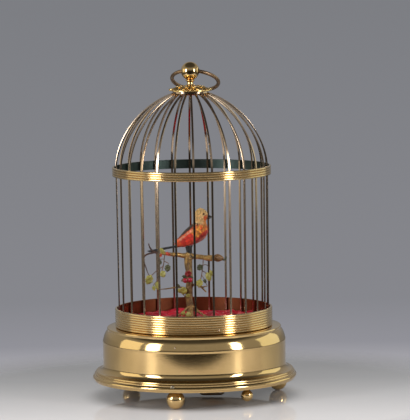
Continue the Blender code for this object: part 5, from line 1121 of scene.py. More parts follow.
left_red = leaves_of(
    ((-22.0, -5.6, 113.4), (-17.4, -6.2, 112.2), 2.8, 0.3, 3, 0.2),
    ((-24.0, -6.0, 112.6), (-27.0, -6.4, 110.6), 2.4, 0.3, 3, -0.2))
right_stems = [
    stem([(8.0, -1.5, 107.0), (7.8, -3.2, 104.0), (7.4, -3.8, 101.0), (6.9, -4.0, 97.6), (6.4, -4.0, 94.0),
          (5.2, -4.0, 90.6)], 0.36),
    stem([(7.0, -3.9, 98.8), (8.8, -3.6, 98.2), (10.6, -3.4, 96.8), (11.4, -3.2, 94.0)]),
    stem([(7.6, -3.4, 103.0), (9.6, -3.6, 104.0), (12.0, -3.6, 103.0), (13.2, -3.4, 100.2),
          (12.6, -3.4, 97.8)], 0.26),
    stem([(6.6, -4.0, 95.6), (8.4, -4.4, 93.0), (9.4, -4.2, 89.6), (11.0, -3.8, 87.0)], 0.26),
]
right_leaves = leaves_of(
    ((10.6, -3.5, 97.6), (13.2, -3.6, 90.4), 4.8, 0.3, 4, -0.2),
    ((5.6, -4.1, 92.6), (4.4, -4.6, 85.4), 5.2, 0.2, 4, 0.2),
    ((12.8, -3.5, 99.4), (15.4, -3.6, 94.4), 3.2, 0.3, 3, 0.1),
    ((5.4, -4.2, 90.4), (0.6, -4.8, 88.0), 3.4, 0.3, 3, 0.3))
right_dark = leaves_of(
    ((7.6, -3.8, 103.2), (3.2, -4.6, 99.8), 5.0, 0.3, 4, 0.3),
    ((8.4, -4.5, 92.6), (9.8, -4.8, 89.0), 2.6, 0.3, 3, 0.0))


def spray_of(name, stems, light, dark=(), red=()):
    """Stems and leaves joined into one spray, each with its own paint."""
    for pieces, colour in ((stems, stem_green), (light, painted_leaf), (dark, dark_leaf), (red, red_leaf)):
        paint(pieces, colour)
    piece = merge(*stems, *light, *dark, *red)
    piece.name = name
    finish(settle(piece, 60.0), None, "cage", name, slot="painted_leaf")


spray_of("left_spray", left_stems, left_leaves, left_dark, left_red)
spray_of("right_spray", right_stems, right_leaves, right_dark)
low_stems = [stem([(-5.4, -1.6, 77.4), (-7.0, -2.4, 78.6), (-8.2, -2.8, 80.2), (-8.6, -3.2, 82.4)], 0.4),
             stem([(-8.4, -3.0, 81.4), (-10.4, -3.6, 83.6), (-11.4, -3.8, 86.0)], 0.3)]
low_leaves = leaves_of(
    ((-8.2, -2.9, 80.0), (-7.4, -4.4, 86.6), 6.2, 0.15, 5, 0.1),
    ((-8.6, -3.3, 82.0), (-13.2, -4.2, 84.8), 3.4, 0.3, 3, 0.2),
    ((-6.2, -2.4, 78.2), (-2.6, -3.8, 80.4), 3.4, 0.3, 3, -0.2))
low_dark = leaves_of(
    ((-11.2, -3.9, 85.6), (-12.8, -4.4, 89.0), 2.8, 0.3, 3, 0.1))
spray_of("low_spray", low_stems, low_leaves, low_dark)
ground_stems = [stem([(-7.4, -4.2, 60.6), (-7.0, -4.8, 63.4), (-6.2, -5.4, 65.6)], 0.36)]
ground_leaves = leaves_of(
    ((-6.8, -5.0, 64.4), (-1.0, -6.8, 64.0), 5.4, 0.25, 4, 0.2, 0.2),
    ((-6.6, -5.2, 65.0), (-10.0, -6.6, 66.6), 3.2, 0.3, 3, -0.2))
spray_of("ground_leaf", ground_stems, ground_leaves)

# %% [markdown]
# A red blossom hangs before the trunk over two glossy berries. Its petals are the same cut leaf with
# other numbers, round and ruffled, and a berry is a turned drop with a dimple.

# %% Blossom and berries
petals = []
for i in range(6):
    turn_to = math.tau * (i + 0.3) / 6
    middle = Vector((-3.9, -5.4, 97.0))
    out_to = middle + Vector((2.9 * math.sin(turn_to), -1.3, 2.7 * math.cos(turn_to)))
    petals.append(leaf("petal", middle, out_to, 3.4, 0.1, 2, 0.2 * i, 0.2, 6, 6))
for i in range(4):
    turn_to = math.tau * i / 4
    middle = Vector((-3.9, -5.9, 97.0))
    out_to = middle + Vector((1.9 * math.sin(turn_to), -1.5, 1.8 * math.cos(turn_to)))
    petals.append(leaf("petal", middle, out_to, 2.2, 0.1, 2, 0.3, 0.25, 5, 5))
sepals = [leaf("sepal", (-4.3, -5.3, 94.4), (-9.0, -5.6, 95.0), 2.6, 0.3, 3, 0.1),
          leaf("sepal", (-4.2, -5.3, 94.2), (0.2, -5.6, 93.6), 2.2, 0.3, 3, 0.1),
          leaf("sepal", (-4.8, -5.3, 93.6), (-9.6, -5.2, 91.0), 3.0, 0.3, 3, 0.3)]
blossom_stems = [
    stem([(-3.6, -1.8, 106.6), (-3.6, -4.2, 104.4), (-3.9, -5.2, 101.0), (-3.9, -5.2, 97.4)], 0.3),
    stem([(-3.9, -5.3, 97.4), (-4.2, -5.4, 95.2), (-5.4, -5.5, 94.0), (-6.2, -5.6, 92.8)], 0.28),
    stem([(-4.2, -5.4, 95.2), (-3.2, -5.6, 94.4), (-2.7, -5.7, 93.0)], 0.28),
]
outline = [(0.0, -1.85), (0.4, -1.8), (0.6, -1.95)] + arc((0.0, 0.0), 2.05, -68.0, 62.0, 10)
outline += [(0.5, 1.65), (0.0, 1.4)]
berries = [turned("berry", outline, 20, (x * MM, -5.7 * MM, z * MM))
           for x, z in ((-6.3, 91.6), (-2.5, 92.0))]
paint(petals, blossom_red)
paint(sepals, dark_leaf)
paint(blossom_stems, stem_green)
paint(berries, berry_red)
blossom = merge(*petals, *sepals, *blossom_stems, *berries)
blossom.name = "flower_spray"
finish(settle(blossom, 60.0), None, "cage", "flower_spray", slot="painted_flower")

# %% [markdown]
# The plumage is one material for all the feathers. The bird's own pattern is laid out along two slanting
# directions, from rump to breast and from belly to back, and noise makes the bounds of each colour
# uneven. Each feather also has its own tone, and its UV map gives the barbs and a darker root, which is
# painted shade where the next row of feathers lies over it.

# %% Plumage
def plane_of(tree, spot, normal, offset, warp, reach):
    """Millimetres along a slanting direction, made uneven by noise."""
    made = add_node(tree, "VectorMath", {"operation": "DOT_PRODUCT"})
    feed(tree, spot, made.inputs[0])
    made.inputs[1].default_value = normal
    place = sum_up(tree, "ADD", times(tree, made.outputs["Value"], 1000.0), offset)
    return sum_up(tree, "ADD", place, times(tree, sum_up(tree, "SUBTRACT", warp, 0.5), reach))


def within(tree, value, low, high):
    """One between low and high, with bounds that are 0.8 mm soft."""
    soft = 0.8
    rise = spread(tree, value, low - soft / 2, low + soft / 2)
    fall = spread(tree, value, high + soft / 2, high - soft / 2)
    return times(tree, rise, fall, clamp=True)


def both_of(tree, *masks):
    mask = masks[0]
    for other in masks[1:]:
        mask = times(tree, mask, other, clamp=True)
    return mask


def feathered(name, pattern, rough=0.62):
    """A feather material; pattern takes the tree and gives the bird's colour at each place."""
    made, tree, shader = new_material(name)
    own = tree.nodes.new("ShaderNodeTexCoord")
    tone = add_node(tree, "Attribute", {"attribute_name": "tone"}).outputs["Fac"]
    parts = add_node(tree, "SeparateXYZ", Vector=own.outputs["UV"])
    barbs = add_node(tree, "TexWave", {"bands_direction": "DIAGONAL"}, Scale=7.0, Distortion=1.2,
                     Detail=1.0)
    feed(tree, own.outputs["UV"], barbs.inputs["Vector"])
    down = add_node(tree, "TexNoise", Vector=place_on(tree), Scale=1900.0, Detail=2.0)
    colour = pattern(tree)
    shaft = sum_up(tree, "ABSOLUTE", sum_up(tree, "SUBTRACT", parts.outputs["X"], 0.5))
    # Painted shade: each feather darkens towards its root, under the next row of feathers.
    depth = times(tree, spread(tree, parts.outputs["Y"], 0.1, 0.8, 0.45, 1.0),
                  spread(tree, tone, 0.0, 1.0, 0.62, 1.25))
    depth = times(tree, depth, spread(tree, shaft, 0.0, 0.06, 0.75, 1.0))
    depth = times(tree, depth, spread(tree, down.outputs[0], 0.3, 0.7, 0.85, 1.12))
    grey = add_node(tree, "CombineColor", Red=depth, Green=depth, Blue=depth)
    shaded = mix(tree, 1.0, colour, grey.outputs[0], "MULTIPLY")
    edge = use_group(tree, edge_wear, Reach=0.00015, Gain=1.5)["Edge"]
    paler = mix(tree, 0.35, shaded, (1.0, 0.85, 0.7, 1.0))
    feed(tree, mix(tree, times(tree, edge, 0.25), shaded, paler), shader.inputs["Base Color"])
    feed(tree, spread(tree, tone, 0.0, 1.0, rough - 0.08, rough + 0.1), shader.inputs["Roughness"])
    shader.inputs["Sheen Weight"].default_value = 0.15
    shader.inputs["Specular IOR Level"].default_value = 0.35
    height = sum_up(tree, "ADD", barbs.outputs[0], times(tree, down.outputs[0], 0.7))
    bump = add_node(tree, "Bump", Strength=0.8, Distance=0.05 * MM, Height=height)
    feed(tree, bump.outputs[0], shader.inputs["Normal"])
    return made


def bright_pattern(tree):
    spot = place_on(tree)
    wide = add_node(tree, "TexNoise", Vector=spot, Scale=420.0, Detail=3.0, Roughness=0.6).outputs[0]
    fine = add_node(tree, "TexNoise", Vector=spot, Scale=1100.0, Detail=2.0).outputs[0]
    ahead = plane_of(tree, spot, (0.777, 0.0, 0.628), -77.57, wide, 3.0)
    above = plane_of(tree, spot, (-0.628, 0.0, 0.777), -99.16, wide, 2.4)
    height = plane_of(tree, spot, (0.0, 0.0, 1.0), 0.0, wide, 2.5)
    front = plane_of(tree, spot, (1.0, 0.0, 0.0), 0.0, fine, 1.5)
    colour = mix(tree, spread(tree, fine, 0.35, 0.65), (0.86, 0.15, 0.03, 1.0), (0.68, 0.065, 0.02, 1.0))
    breast = both_of(tree, spread(tree, ahead, 1.5, 4.5), spread(tree, above, 4.0, 2.0),
                     spread(tree, wide, 0.42, 0.58))
    colour = mix(tree, breast, colour, (0.90, 0.37, 0.05, 1.0))
    colour = mix(tree, both_of(tree, within(tree, above, -3.6, 2.2), within(tree, ahead, -9.0, 2.5)),
                 colour, (0.72, 0.035, 0.015, 1.0))
    streak = both_of(tree, within(tree, above, 2.2, 3.7), within(tree, ahead, -9.0, 5.0),
                     spread(tree, fine, 0.36, 0.5))
    colour = mix(tree, times(tree, streak, 0.8), colour, (0.72, 0.36, 0.24, 1.0))
    colour = mix(tree, both_of(tree, spread(tree, above, 3.9, 4.7), spread(tree, height, 137.0, 135.0)),
                 colour, (0.055, 0.028, 0.018, 1.0))
    colour = mix(tree, spread(tree, above, -3.9, -4.9), colour, (0.58, 0.03, 0.02, 1.0))
    edge = both_of(tree, spread(tree, above, -6.3, -7.0), spread(tree, ahead, 1.5, 2.8))
    colour = mix(tree, times(tree, edge, 0.7), colour, (0.62, 0.22, 0.16, 1.0))
    cream = mix(tree, spread(tree, fine, 0.4, 0.62), (0.92, 0.60, 0.27, 1.0), (0.84, 0.44, 0.13, 1.0))
    face = sum_up(tree, "ADD", spread(tree, front, 9.6, 8.2), spread(tree, height, 141.2, 142.6),
                  clamp=True)
    colour = mix(tree, both_of(tree, spread(tree, height, 134.2, 136.4), face), colour, cream)
    crown = both_of(tree, spread(tree, height, 142.5, 144.5), spread(tree, fine, 0.47, 0.56))
    colour = mix(tree, times(tree, crown, 0.45), colour, (0.55, 0.36, 0.07, 1.0))
    collar = both_of(tree, within(tree, height, 134.6, 136.8), spread(tree, fine, 0.44, 0.54),
                     spread(tree, front, 7.0, 5.0))
    return mix(tree, collar, colour, (0.06, 0.035, 0.02, 1.0))


def black_pattern(tree):
    spot = place_on(tree)
    wide = add_node(tree, "TexNoise", Vector=spot, Scale=300.0, Detail=3.0).outputs[0]
    return mix(tree, spread(tree, wide, 0.35, 0.65), (0.035, 0.03, 0.032, 1.0), (0.012, 0.012, 0.016, 1.0))


plumage = feathered("bright_plumage", bright_pattern)
black_plumage = feathered("black_plumage", black_pattern, 0.48)
horn_black = painted("horn_black", (0.03, 0.027, 0.025), (0.012, 0.011, 0.011), (0.16, 0.13, 0.10), 500.0,
                     0.22, 0.38, 0.02)[0]
eye_glass = painted("eye_glass", (0.16, 0.035, 0.012), (0.06, 0.015, 0.008), (0.25, 0.08, 0.03), 600.0,
                    0.05, 0.1, 0.002, 0.2)[0]
print("plumage has", len(plumage.node_tree.nodes), "nodes")

# %% [markdown]
# The bird's body and head are each a skin over a line of round sections. A place on it is found from how
# far along the line it lies and how far round, so a sphere can be pulled over it and feathers laid on it
# in rows.

# %% Skins
def on_line(stations, t):
    """Centre in mm, radius and direction on a smooth line of (x, z, radius) stations."""
    last = len(stations) - 1
    at = min(max(t, 0.0), 1.0) * last
    k = min(int(at), last - 1)
    rows = [stations[min(max(k + i, 0), last)] for i in (-1, 0, 1, 2)]

    def value(share):
        made = []
        for a, b, c, d in zip(*rows):
            curve = 2 * a - 5 * b + 4 * c - d + share * (3 * b - a - 3 * c + d)
            made.append(b + 0.5 * share * (c - a + share * curve))
        return made

    here, there = value(at - k), value(at - k + 0.02)
    course = Vector((there[0] - here[0], 0.0, there[1] - here[1])).normalized()
    return Vector((here[0], 0.0, here[1])), max(here[2], 0.15), course


def skin_point(stations, t, turn, lift=0.0):
    centre, radius, course = on_line(stations, t)
    up = Vector((-course.z, 0.0, course.x))
    out = Vector((0.0, -0.94 * math.cos(turn), 0.0)) + up * math.sin(turn)
    return (centre + out * (radius + lift)) * MM


def skin(name, stations):
    deselect()
    bpy.ops.mesh.primitive_uv_sphere_add(segments=40, ring_count=30, radius=1.0)
    piece = bpy.context.object
    piece.name = name
    for vertex in piece.data.vertices:
        co = vertex.co
        vertex.co = skin_point(stations, 1.0 - math.acos(max(-1.0, min(1.0, co.z))) / math.pi,
                               math.atan2(co.y, co.x))
    set_tone(piece, 0.3)
    return piece


def set_tone(piece, tone):
    piece.data.attributes.new("tone", "FLOAT", "POINT")
    piece.data.attributes["tone"].data.foreach_set("value", [tone] * len(piece.data.vertices))


def card(name, across, along, place, tone, wall=0.0):
    """A feather: a small grid whose points come from place(across from -1 to 1, along from 0 to 1)."""
    piece = grid(name, across, along)
    for vertex in piece.data.vertices:
        vertex.co = place(vertex.co.x, (vertex.co.y + 1.0) / 2.0)
    if wall:
        thicken(piece, wall, 0.0)
    set_tone(piece, tone)
    return piece


def vane(u, blunt=0.5):
    """How wide a feather is along its length, full in the middle and round at its tip."""
    return math.sin(math.pi * min(1.0, 0.16 + 0.81 * u)) ** blunt


def laid_feather(stations, lengths, root, turn, long, wide, lift, rise, tone, across=2, along=4, wall=0.0,
                 sweep=0.0):
    """A feather on the skin from its root, in mm along the line, towards the line's start."""
    def place(v, u):
        far = max(root - long * u, 0.3)
        t = share_at(lengths, far)
        radius = max(on_line(stations, t)[1], 0.8)
        spread_to = v * wide / 2 * vane(u) / radius
        return skin_point(stations, t, turn + sweep * u + spread_to,
                          lift + rise * u - 0.22 * v * v * wide * 0.3)
    return card("feather", across, along, place, tone, wall)


def line_lengths(stations):
    """How far along the line, in mm, each of its 161 evenly shared points lies."""
    count = 160
    spots = [on_line(stations, i / count)[0] for i in range(count + 1)]
    lengths = [0.0]
    for here, there in zip(spots, spots[1:]):
        lengths.append(lengths[-1] + (there - here).length)
    return lengths


def share_at(lengths, far):
    count = len(lengths) - 1
    for i in range(count):
        if lengths[i + 1] >= far:
            return (i + (far - lengths[i]) / max(lengths[i + 1] - lengths[i], 1e-6)) / count
    return 1.0


def coat_of(stations, lengths, first, last, step, long, wide, rise):
    """Rows of small feathers all round, each row set half a feather from the one before."""
    made = []
    rows = int((last - first) / step)
    for i in range(rows):
        root = first + step * i
        radius = on_line(stations, share_at(lengths, root))[1]
        count = max(6, int(math.tau * radius / (wide * 0.78)))
        for k in range(count):
            turn_to = math.tau * (k + 0.5 * (i % 2) + random.uniform(-0.2, 0.2)) / count
            made.append(laid_feather(stations, lengths, root + random.uniform(-0.3, 0.3), turn_to,
                                     long * random.uniform(0.85, 1.15), wide * random.uniform(0.9, 1.1),
                                     0.05, rise * random.uniform(0.7, 1.2), random.random()))
    return made


print("feather width at its middle", round(vane(0.4), 2))

# %% [markdown]
# Small feathers cover the body from rump to neck. A folded wing lies on each side: four rows of coverts
# over long flight feathers that run back to the rump. Each feather is a small grid laid on the skin,
# because a bump map alone would leave the bird's outline smooth.

# %% Bird's body
random.seed(11)
body_line = [(-13.6, 118.2, 0.2), (-13.2, 118.4, 1.5), (-10.5, 120.4, 3.2), (-6.6, 122.3, 4.9),
             (-1.6, 125.4, 6.5), (4.2, 129.4, 7.2), (5.6, 133.4, 6.0), (6.0, 136.2, 4.9), (6.1, 137.8, 4.2),
             (6.2, 138.8, 0.2)]
body_lengths = line_lengths(body_line)
whole = body_lengths[-1]
feathers = coat_of(body_line, body_lengths, 3.2, whole - 1.4, 1.25, 2.9, 2.1, 0.38)
for mirrored in (False, True):
    for row, (root, low, high, count, long, wide, lift) in enumerate((
            (15.0, -0.62, 0.78, 6, 12.5, 2.3, 0.35), (17.0, -0.66, 0.84, 7, 8.0, 2.2, 0.5),
            (18.6, -0.70, 0.86, 8, 5.2, 2.0, 0.62), (20.4, -0.66, 0.80, 8, 4.2, 1.8, 0.66),
            (22.0, -0.55, 0.65, 7, 3.6, 1.7, 0.6))):
        for k in range(count):
            turn_to = low + (high - low) * k / (count - 1)
            sweep = (0.12 - turn_to) * (0.35 if row == 0 else 0.12)
            if mirrored:
                turn_to, sweep = math.pi - turn_to, -sweep
            start = root + random.uniform(-0.3, 0.3) - 1.2 * abs(k / (count - 1) - 0.5)
            feathers.append(laid_feather(body_line, body_lengths, start, turn_to,
                                         long * random.uniform(0.92, 1.06), wide, lift, 0.25,
                                         random.uniform(0.25, 1.0), 3, 7 if row < 2 else 5, 0.12, sweep))
body = merge(skin("bird_body", body_line), *feathers)
body.name = "bird_body"
finish(settle(body, 50.0), plumage, "cage", "bird_body", slot="orange_plumage")

# %% [markdown]
# The head is its own skin with smaller feathers, and turns with its upper beak and its two glass eyes.
# The lower beak is a piece of its own that opens under the upper one.

# %% Bird's head
head_line = [(6.2, 136.2, 0.2), (6.25, 136.8, 2.9), (6.4, 138.6, 4.4), (6.6, 141.4, 5.1), (6.5, 144.2, 4.7),
             (6.3, 146.5, 3.1), (6.2, 147.9, 0.2)]
head_lengths = line_lengths(head_line)
feathers = coat_of(head_line, head_lengths, 1.6, head_lengths[-1] - 0.4, 0.85, 1.7, 1.25, 0.26)
head = merge(skin("bird_head", head_line), *feathers)
head.name = "bird_head"
paint([head], plumage)
upper = rod_along("upper_beak", [(9.6, 0.0, 141.7), (11.6, 0.0, 141.5), (13.4, 0.0, 141.2),
                                 (14.9, 0.0, 140.8), (15.9, 0.0, 140.4)],
                  1.05, 4, [1.0, 1.0, 0.8, 0.55, 0.15], True)
for vertex in upper.data.vertices:
    vertex.co.y *= 0.78
    vertex.co.z = max(vertex.co.z, 140.3 * MM)
trim = [upper]
eye_radius, eye_ahead, eye_aside, eye_height = 0.72, 8.6, 4.3, 143.4
for side in (-1.0, 1.0):
    deselect()
    bpy.ops.mesh.primitive_uv_sphere_add(segments=20, ring_count=14, radius=eye_radius * MM)
    eye = bpy.context.object
    eye.location = (eye_ahead * MM, side * eye_aside * MM, eye_height * MM)
    paint([eye], eye_glass)
    deselect()
    bpy.ops.mesh.primitive_torus_add(major_radius=0.8 * MM, minor_radius=0.16 * MM, major_segments=24,
                                     minor_segments=8, rotation=(math.pi / 2, 0.0, side * 0.45))
    lid = bpy.context.object
    lid.location = ((eye_ahead + 0.05) * MM, side * (eye_aside + 0.1) * MM, eye_height * MM)
    paint([lid], horn_black)
    trim += [eye, lid]
paint([upper], horn_black)
finish(settle(merge(head, *trim), 50.0), None, "head", "bird_head", slot="cream_plumage")
lower = rod_along("lower_beak", [(9.4, 0.0, 139.6), (11.4, 0.0, 139.65), (13.2, 0.0, 139.75),
                                 (14.9, 0.0, 139.95)],
                  0.95, 4, [1.0, 1.0, 0.7, 0.15], True)
for vertex in lower.data.vertices:
    vertex.co.y *= 0.85
    vertex.co.z = min(vertex.co.z, 140.15 * MM)
yoke = rod_along("beak_yoke", [(6.6, 0.0, 138.6), (8.0, 0.0, 139.0), (9.8, 0.0, 139.6)], 0.45, 2)
finish(settle(merge(lower, yoke), 40.0), horn_black, "lower_beak", "lower_beak", slot="dark_plumage")

# %% [markdown]
# The tail is seven long narrow feathers in a shallow fan, one over the other, on a short wire frame. It
# dips when the bird sings. The leg is a dark sleeve that hides the wires from the perch to the belly,
# with toes round the branch.

# %% Tail and leg
feathers = []
for i, (aside, lift, long) in enumerate(((0.0, 0.7, 24.2), (-0.75, 0.4, 23.8), (0.75, 0.4, 23.8),
                                         (-1.35, 0.0, 23.0), (1.35, 0.0, 23.0), (-1.8, -0.45, 21.6),
                                         (1.8, -0.45, 21.6))):
    def place(v, u, aside=aside, lift=lift, long=long):
        width = 1.9 * vane(0.1 + 0.86 * u, 0.35) / 2
        x = -11.4 - long * u
        z = 118.2 - 4.1 * u + 0.25 * math.sin(math.pi * u) + lift * (0.8 + 0.1 * u) - 0.35 * v * v
        y = aside * (0.45 + 0.45 * u) + v * width
        return Vector((x, max(-2.35, min(2.35, y)), z)) * MM
    feathers.append(card("tail_feather", 4, 14, place, 0.3 + 0.1 * i, 0.14))
root = rod_along("tail_root", [(6.4, 0.0, 127.2), (1.0, 0.0, 123.6), (-6.0, 0.0, 120.0),
                               (-12.6, 0.0, 118.3)], 0.55, 2)
set_tone(root, 0.3)
finish(settle(merge(feathers[0], *feathers[1:], root), 40.0), black_plumage, "tail", "bird_tail",
       slot="dark_plumage")
leg = turned("bird_leg", [(0.0, 109.4), (2.0, 109.4), (2.5, 110.4), (2.0, 111.6), (1.7, 113.6),
                          (2.1, 115.8), (2.9, 118.2), (2.4, 119.4), (0.0, 119.6)], 28)
for vertex in leg.data.vertices:
    ruffle = 1.0 + 0.10 * math.sin(5.0 * math.atan2(vertex.co.y, vertex.co.x) + vertex.co.z * 1400.0)
    vertex.co.x = vertex.co.x * ruffle * 1.05 - 3.2 * MM
    vertex.co.y *= ruffle * 0.9
toes = []
for x, y, reach in ((-3.8, -1.2, 3.4), (-2.6, -1.6, 3.6), (-1.6, -1.1, 3.2), (-2.8, 1.4, -3.0)):
    toes.append(rod_along("toe", [(x, y, 110.8), (x + 0.3 * reach, y - 0.15 * reach, 111.0),
                                  (x + 0.55 * reach, y - 0.42 * reach, 110.0),
                                  (x + 0.62 * reach, y - 0.5 * reach, 108.4)],
                          0.42, 3, [1.0, 1.1, 0.9, 0.3], True))
finish(settle(merge(leg, *toes), 50.0), horn_black, "cage", slot="dark_plumage")

# %% [markdown]
# The bellows' leather is a pleated sleeve glued round the chest's face and the board. It is a grid rolled
# round the outline and drawn in to three pleats, and it spans from the chest's face to the board, which
# stands at a slant of four degrees.

# %% Bellows leather
leather_low, leather_high = (Vector(corner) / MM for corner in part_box("bellows_leather"))
chest_face = leather_high.y


def round_outline(turn_share, low, high, drawn):
    """A place on an oblong with rounded corners, its share of the way round from 0 to 1."""
    angle = math.tau * turn_share
    a, b = math.cos(angle), math.sin(angle)
    grow = (abs(a) ** 9 + abs(b) ** 9) ** (-1.0 / 9)
    half = ((high[0] - low[0]) / 2 - drawn, (high[1] - low[1]) / 2 - drawn)
    return (low[0] + high[0]) / 2 + half[0] * a * grow, (low[1] + high[1]) / 2 + half[1] * b * grow


leather = grid("bellows_leather", 88, 12)
for vertex in leather.data.vertices:
    way = (vertex.co.x + 1.0) / 2.0
    deep = (vertex.co.y + 1.0) / 2.0
    drawn = 0.35 + 1.3 * abs(math.sin(3.0 * math.pi * deep)) ** 0.8
    x, z = round_outline(way, (leather_low.x, leather_low.z), (leather_high.x, leather_high.z), drawn)
    board_y = leather_low.y + 0.25 + (x - leather_low.x) * math.tan(math.radians(4.0))
    crease = 0.12 * noise.noise(Vector((x, z, 3.0 * deep)) * 0.9)
    vertex.co = Vector((x, chest_face - 0.05 + (board_y - chest_face) * deep, z + crease)) * MM
close_up(2e-5)
thicken(leather, 0.25)
kid_leather = painted("kid_leather", (0.70, 0.60, 0.44), (0.46, 0.35, 0.22), (0.80, 0.72, 0.58), 120.0, 0.6,
                      0.8, 0.08)[0]
finish(settle(leather, 60.0), kid_leather, "cage", "bellows_leather", slot="bellows_leather")
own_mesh(leather)

# %% [markdown]
# The object stands on a pale table top with a straight front edge. Its rim fades out for the camera, so
# that the backdrop shows behind it from every side, and the shiny brass still sees the table to its edge.
# The table's colour is painted light at the front and darker towards the back, as the lamps in front light
# it.
# The table's front is a little brighter than its lamps alone make it, but not in the object's own shadow.

# %% Floor
table_width = 0.84
table_front = -0.285


def mix_shaders(tree, share, first, second):
    made = tree.nodes.new("ShaderNodeMixShader")
    for socket, term in zip(made.inputs, (share, first, second)):
        feed(tree, term, socket)
    return made.outputs[0]


deselect()
bpy.ops.mesh.primitive_plane_add(size=table_width)
floor = bpy.context.object
for vertex in floor.data.vertices:
    vertex.co.y = max(vertex.co.y, table_front)
floor.name = "floor"
pale_floor, tree, shader = new_material("pale_floor")
spot = tree.nodes.new("ShaderNodeTexCoord")
parts = add_node(tree, "SeparateXYZ", Vector=spot.outputs["Object"])
# Painted light: the table is light at the front and darker at the back, as its lamps in front light it.
depth = spread(tree, parts.outputs["Y"], -0.14, 0.08)
shade = mix(tree, depth, (0.80, 0.77, 0.77, 1.0), (0.42, 0.42, 0.44, 1.0))
mottle = add_node(tree, "TexNoise", Vector=spot.outputs["Object"], Scale=40.0, Detail=4.0)
speckled = spread(tree, mottle.outputs[0], 0.3, 0.7, 0.0, 0.05)
feed(tree, mix(tree, speckled, shade, (0.5, 0.5, 0.5, 1.0)), shader.inputs["Base Color"])
apart = add_node(tree, "VectorMath", {"operation": "LENGTH"})
feed(tree, spot.outputs["Object"], apart.inputs[0])
rim = spread(tree, apart.outputs["Value"], 0.19, 0.27)
in_view = tree.nodes.new("ShaderNodeLightPath").outputs["Is Camera Ray"]
gone = times(tree, rim, in_view)
feed(tree, spread(tree, in_view, 0.0, 1.0, 0.4, 0.05), shader.inputs["Roughness"])
feed(tree, spread(tree, in_view, 0.0, 1.0, 0.08, 0.5), shader.inputs["Specular IOR Level"])
# Painted light: the front of the table glows a little for the camera, outside the object's shadow.
near = spread(tree, parts.outputs["Y"], -0.10, 0.16, 0.18, 0.0)
near = times(tree, near, spread(tree, apart.outputs["Value"], 0.068, 0.09))
shader.inputs["Emission Color"].default_value = (1.0, 0.97, 0.96, 1.0)
feed(tree, times(tree, near, in_view), shader.inputs["Emission Strength"])
clear = tree.nodes.new("ShaderNodeBsdfTransparent")
surface = mix_shaders(tree, gone, shader.outputs[0], clear.outputs[0])
feed(tree, surface, tree.nodes["Material Output"].inputs["Surface"])
floor.data.materials.append(pale_floor)
print("table top", table_width, "wide")

# %% [markdown]
# The room is two worlds in one. The camera sees a grey backdrop, darker towards the top, with a pale band
# above the table. Everything else is lit by a dim room, brighter at the height of the object and darkest
# in front, where the camera stands and the brass mirrors nothing bright.

# %% Backdrop and room
def ramp_of(tree, value, stops):
    """A colour ramp over stops of (place, colour)."""
    made = tree.nodes.new("ShaderNodeValToRGB")
    elements = made.color_ramp.elements
    for element, (place, colour) in zip(elements, (stops[0], stops[-1])):
        element.position = place
        element.color = (*colour, 1.0)
    for place, colour in stops[1:-1]:
        elements.new(place).color = (*colour, 1.0)
    feed(tree, value, made.inputs[0])
    return made.outputs[0]


def background(tree, colour):
    made = tree.nodes.new("ShaderNodeBackground")
    feed(tree, colour, made.inputs[0])
    return made.outputs[0]


world = bpy.data.worlds.new("studio")
bpy.context.scene.world = world
world.use_nodes = True
tree = world.node_tree
tree.nodes.clear()
out = tree.nodes.new("ShaderNodeOutputWorld")
spot = tree.nodes.new("ShaderNodeTexCoord")
parts = add_node(tree, "SeparateXYZ", Vector=spot.outputs["Generated"])
backdrop = ramp_of(tree, spread(tree, parts.outputs["Z"], -0.148, -0.036), (
    (0.0, (0.40, 0.395, 0.42)), (0.03, (0.36, 0.355, 0.385)), (0.07, (0.285, 0.284, 0.315)),
    (0.19, (0.24, 0.242, 0.265)), (1.0, (0.205, 0.21, 0.228))))
greys = ((0.0, 0.05), (0.40, 0.10), (0.60, 0.30), (0.78, 0.32), (0.88, 0.07), (1.0, 0.05))
room = ramp_of(tree, spread(tree, parts.outputs["Z"], -1.0, 1.0),
               [(place, (grey,) * 3) for place, grey in greys])
ahead = spread(tree, parts.outputs["Y"], -0.95, -0.25, 0.16, 1.0)
ahead = sum_up(tree, "MAXIMUM", ahead, spread(tree, parts.outputs["Z"], 0.05, 0.28))
front = add_node(tree, "CombineColor", Red=ahead, Green=ahead, Blue=ahead)
lit = mix(tree, 1.0, room, front.outputs[0], "MULTIPLY")
in_view = tree.nodes.new("ShaderNodeLightPath").outputs["Is Camera Ray"]
feed(tree, mix_shaders(tree, in_view, background(tree, lit), background(tree, backdrop)),
     out.inputs["Surface"])
print("backdrop", world.name)

# %% [markdown]
# Two tall soft boxes stand left and right of the camera: they draw the two white stripes down the brass.
# Cloth in front of a lamp lets it fall off towards its edges, which nodes on the lamp imitate. A
# yellowish and a greenish panel stand at the sides. A large one overhead lights cloth, bird and table,
# but is kept out of the brass.

# %% Lamps
lamps_aim = Vector((0.0, 0.0, 0.1))


def soft_box(name, azimuth, distance, height, width, tall, power, colour=(1.0, 1.0, 1.0)):
    """A rectangular lamp at an azimuth from the front, positive to the right, that faces the object."""
    turn_to = math.radians(azimuth)
    place = Vector((distance * math.sin(turn_to), -distance * math.cos(turn_to), height))
    bpy.ops.object.light_add(type="AREA", location=place)
    lamp = bpy.context.object
    lamp.name = name
    lamp.rotation_euler = (lamps_aim - place).to_track_quat("-Z", "Y").to_euler()
    lamp.data.shape = "RECTANGLE"
    lamp.data.size = width
    lamp.data.size_y = tall
    lamp.data.energy = power
    lamp.data.color = colour
    return lamp


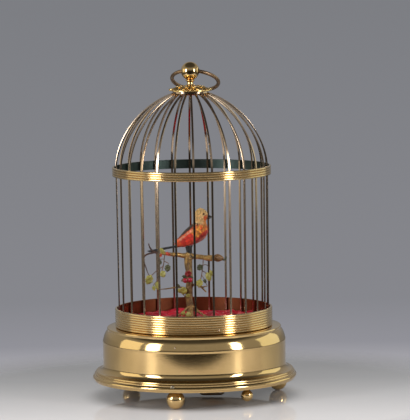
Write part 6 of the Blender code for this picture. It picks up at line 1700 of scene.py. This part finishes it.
def brighter_middle(lamp):
    """Lets a soft box fall off towards its edges, as cloth in front of a lamp does."""
    lamp.data.use_nodes = True
    tree = lamp.data.node_tree
    place = tree.nodes.new("ShaderNodeNewGeometry")
    apart = add_node(tree, "VectorMath", {"operation": "DISTANCE"})
    feed(tree, place.outputs["Parametric"], apart.inputs[0])
    apart.inputs[1].default_value = (0.5, 0.5, 0.0)
    glow = next(node for node in tree.nodes if node.type == "EMISSION")
    feed(tree, spread(tree, apart.outputs["Value"], 0.12, 0.55, 1.7, 0.15), glow.inputs["Strength"])


brighter_middle(soft_box("left_soft_box", -53.2, 0.9, 0.36, 0.30, 0.55, 4.8))
brighter_middle(soft_box("right_soft_box", 54.2, 0.9, 0.36, 0.21, 0.55, 3.7))
soft_box("left_side_panel", -88.0, 0.9, 0.30, 0.55, 0.5, 0.75, (1.0, 0.93, 0.7))
soft_box("right_side_panel", 112.0, 0.9, 0.3, 0.7, 0.5, 0.75, (0.95, 1.0, 0.8))
top_panel = soft_box("top_panel", 10.0, 0.35, 1.3, 1.1, 1.1, 8.5)
top_panel.visible_glossy = False

# %% [markdown]
# The movement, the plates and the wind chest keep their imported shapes. Each gets a finish of its own kind
# through its material slots: yellow brass for the clockwork, blued steel for springs, levers and arbors,
# a darker brass for the bottom and the deck plate, and wood for the wind chest.

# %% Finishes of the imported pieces
chest_wood = painted("chest_wood", (0.36, 0.20, 0.09), (0.20, 0.10, 0.045), (0.55, 0.36, 0.18), 90.0, 0.4,
                     0.6, 0.08)[0]
plate_brass = metal("plate_brass", (0.50, 0.36, 0.18), (0.22, 0.14, 0.08), 0.28, 0.5, 70.0, 0.8)
wanted = {"movement_brass": movement_brass, "blued_steel": blued_steel, "chest_wood": chest_wood,
          "aged_brass": plate_brass}
coated = 0
for row in frame["record"]["subparts"]:
    node = nodes.get(row["node"])
    if node and not node.hide_render:
        for slot_row in node.material_slots:
            slot_row.material = wanted.get(row["material_slot"], movement_brass)
        coated += 1
print("finished", coated, "packed pieces")
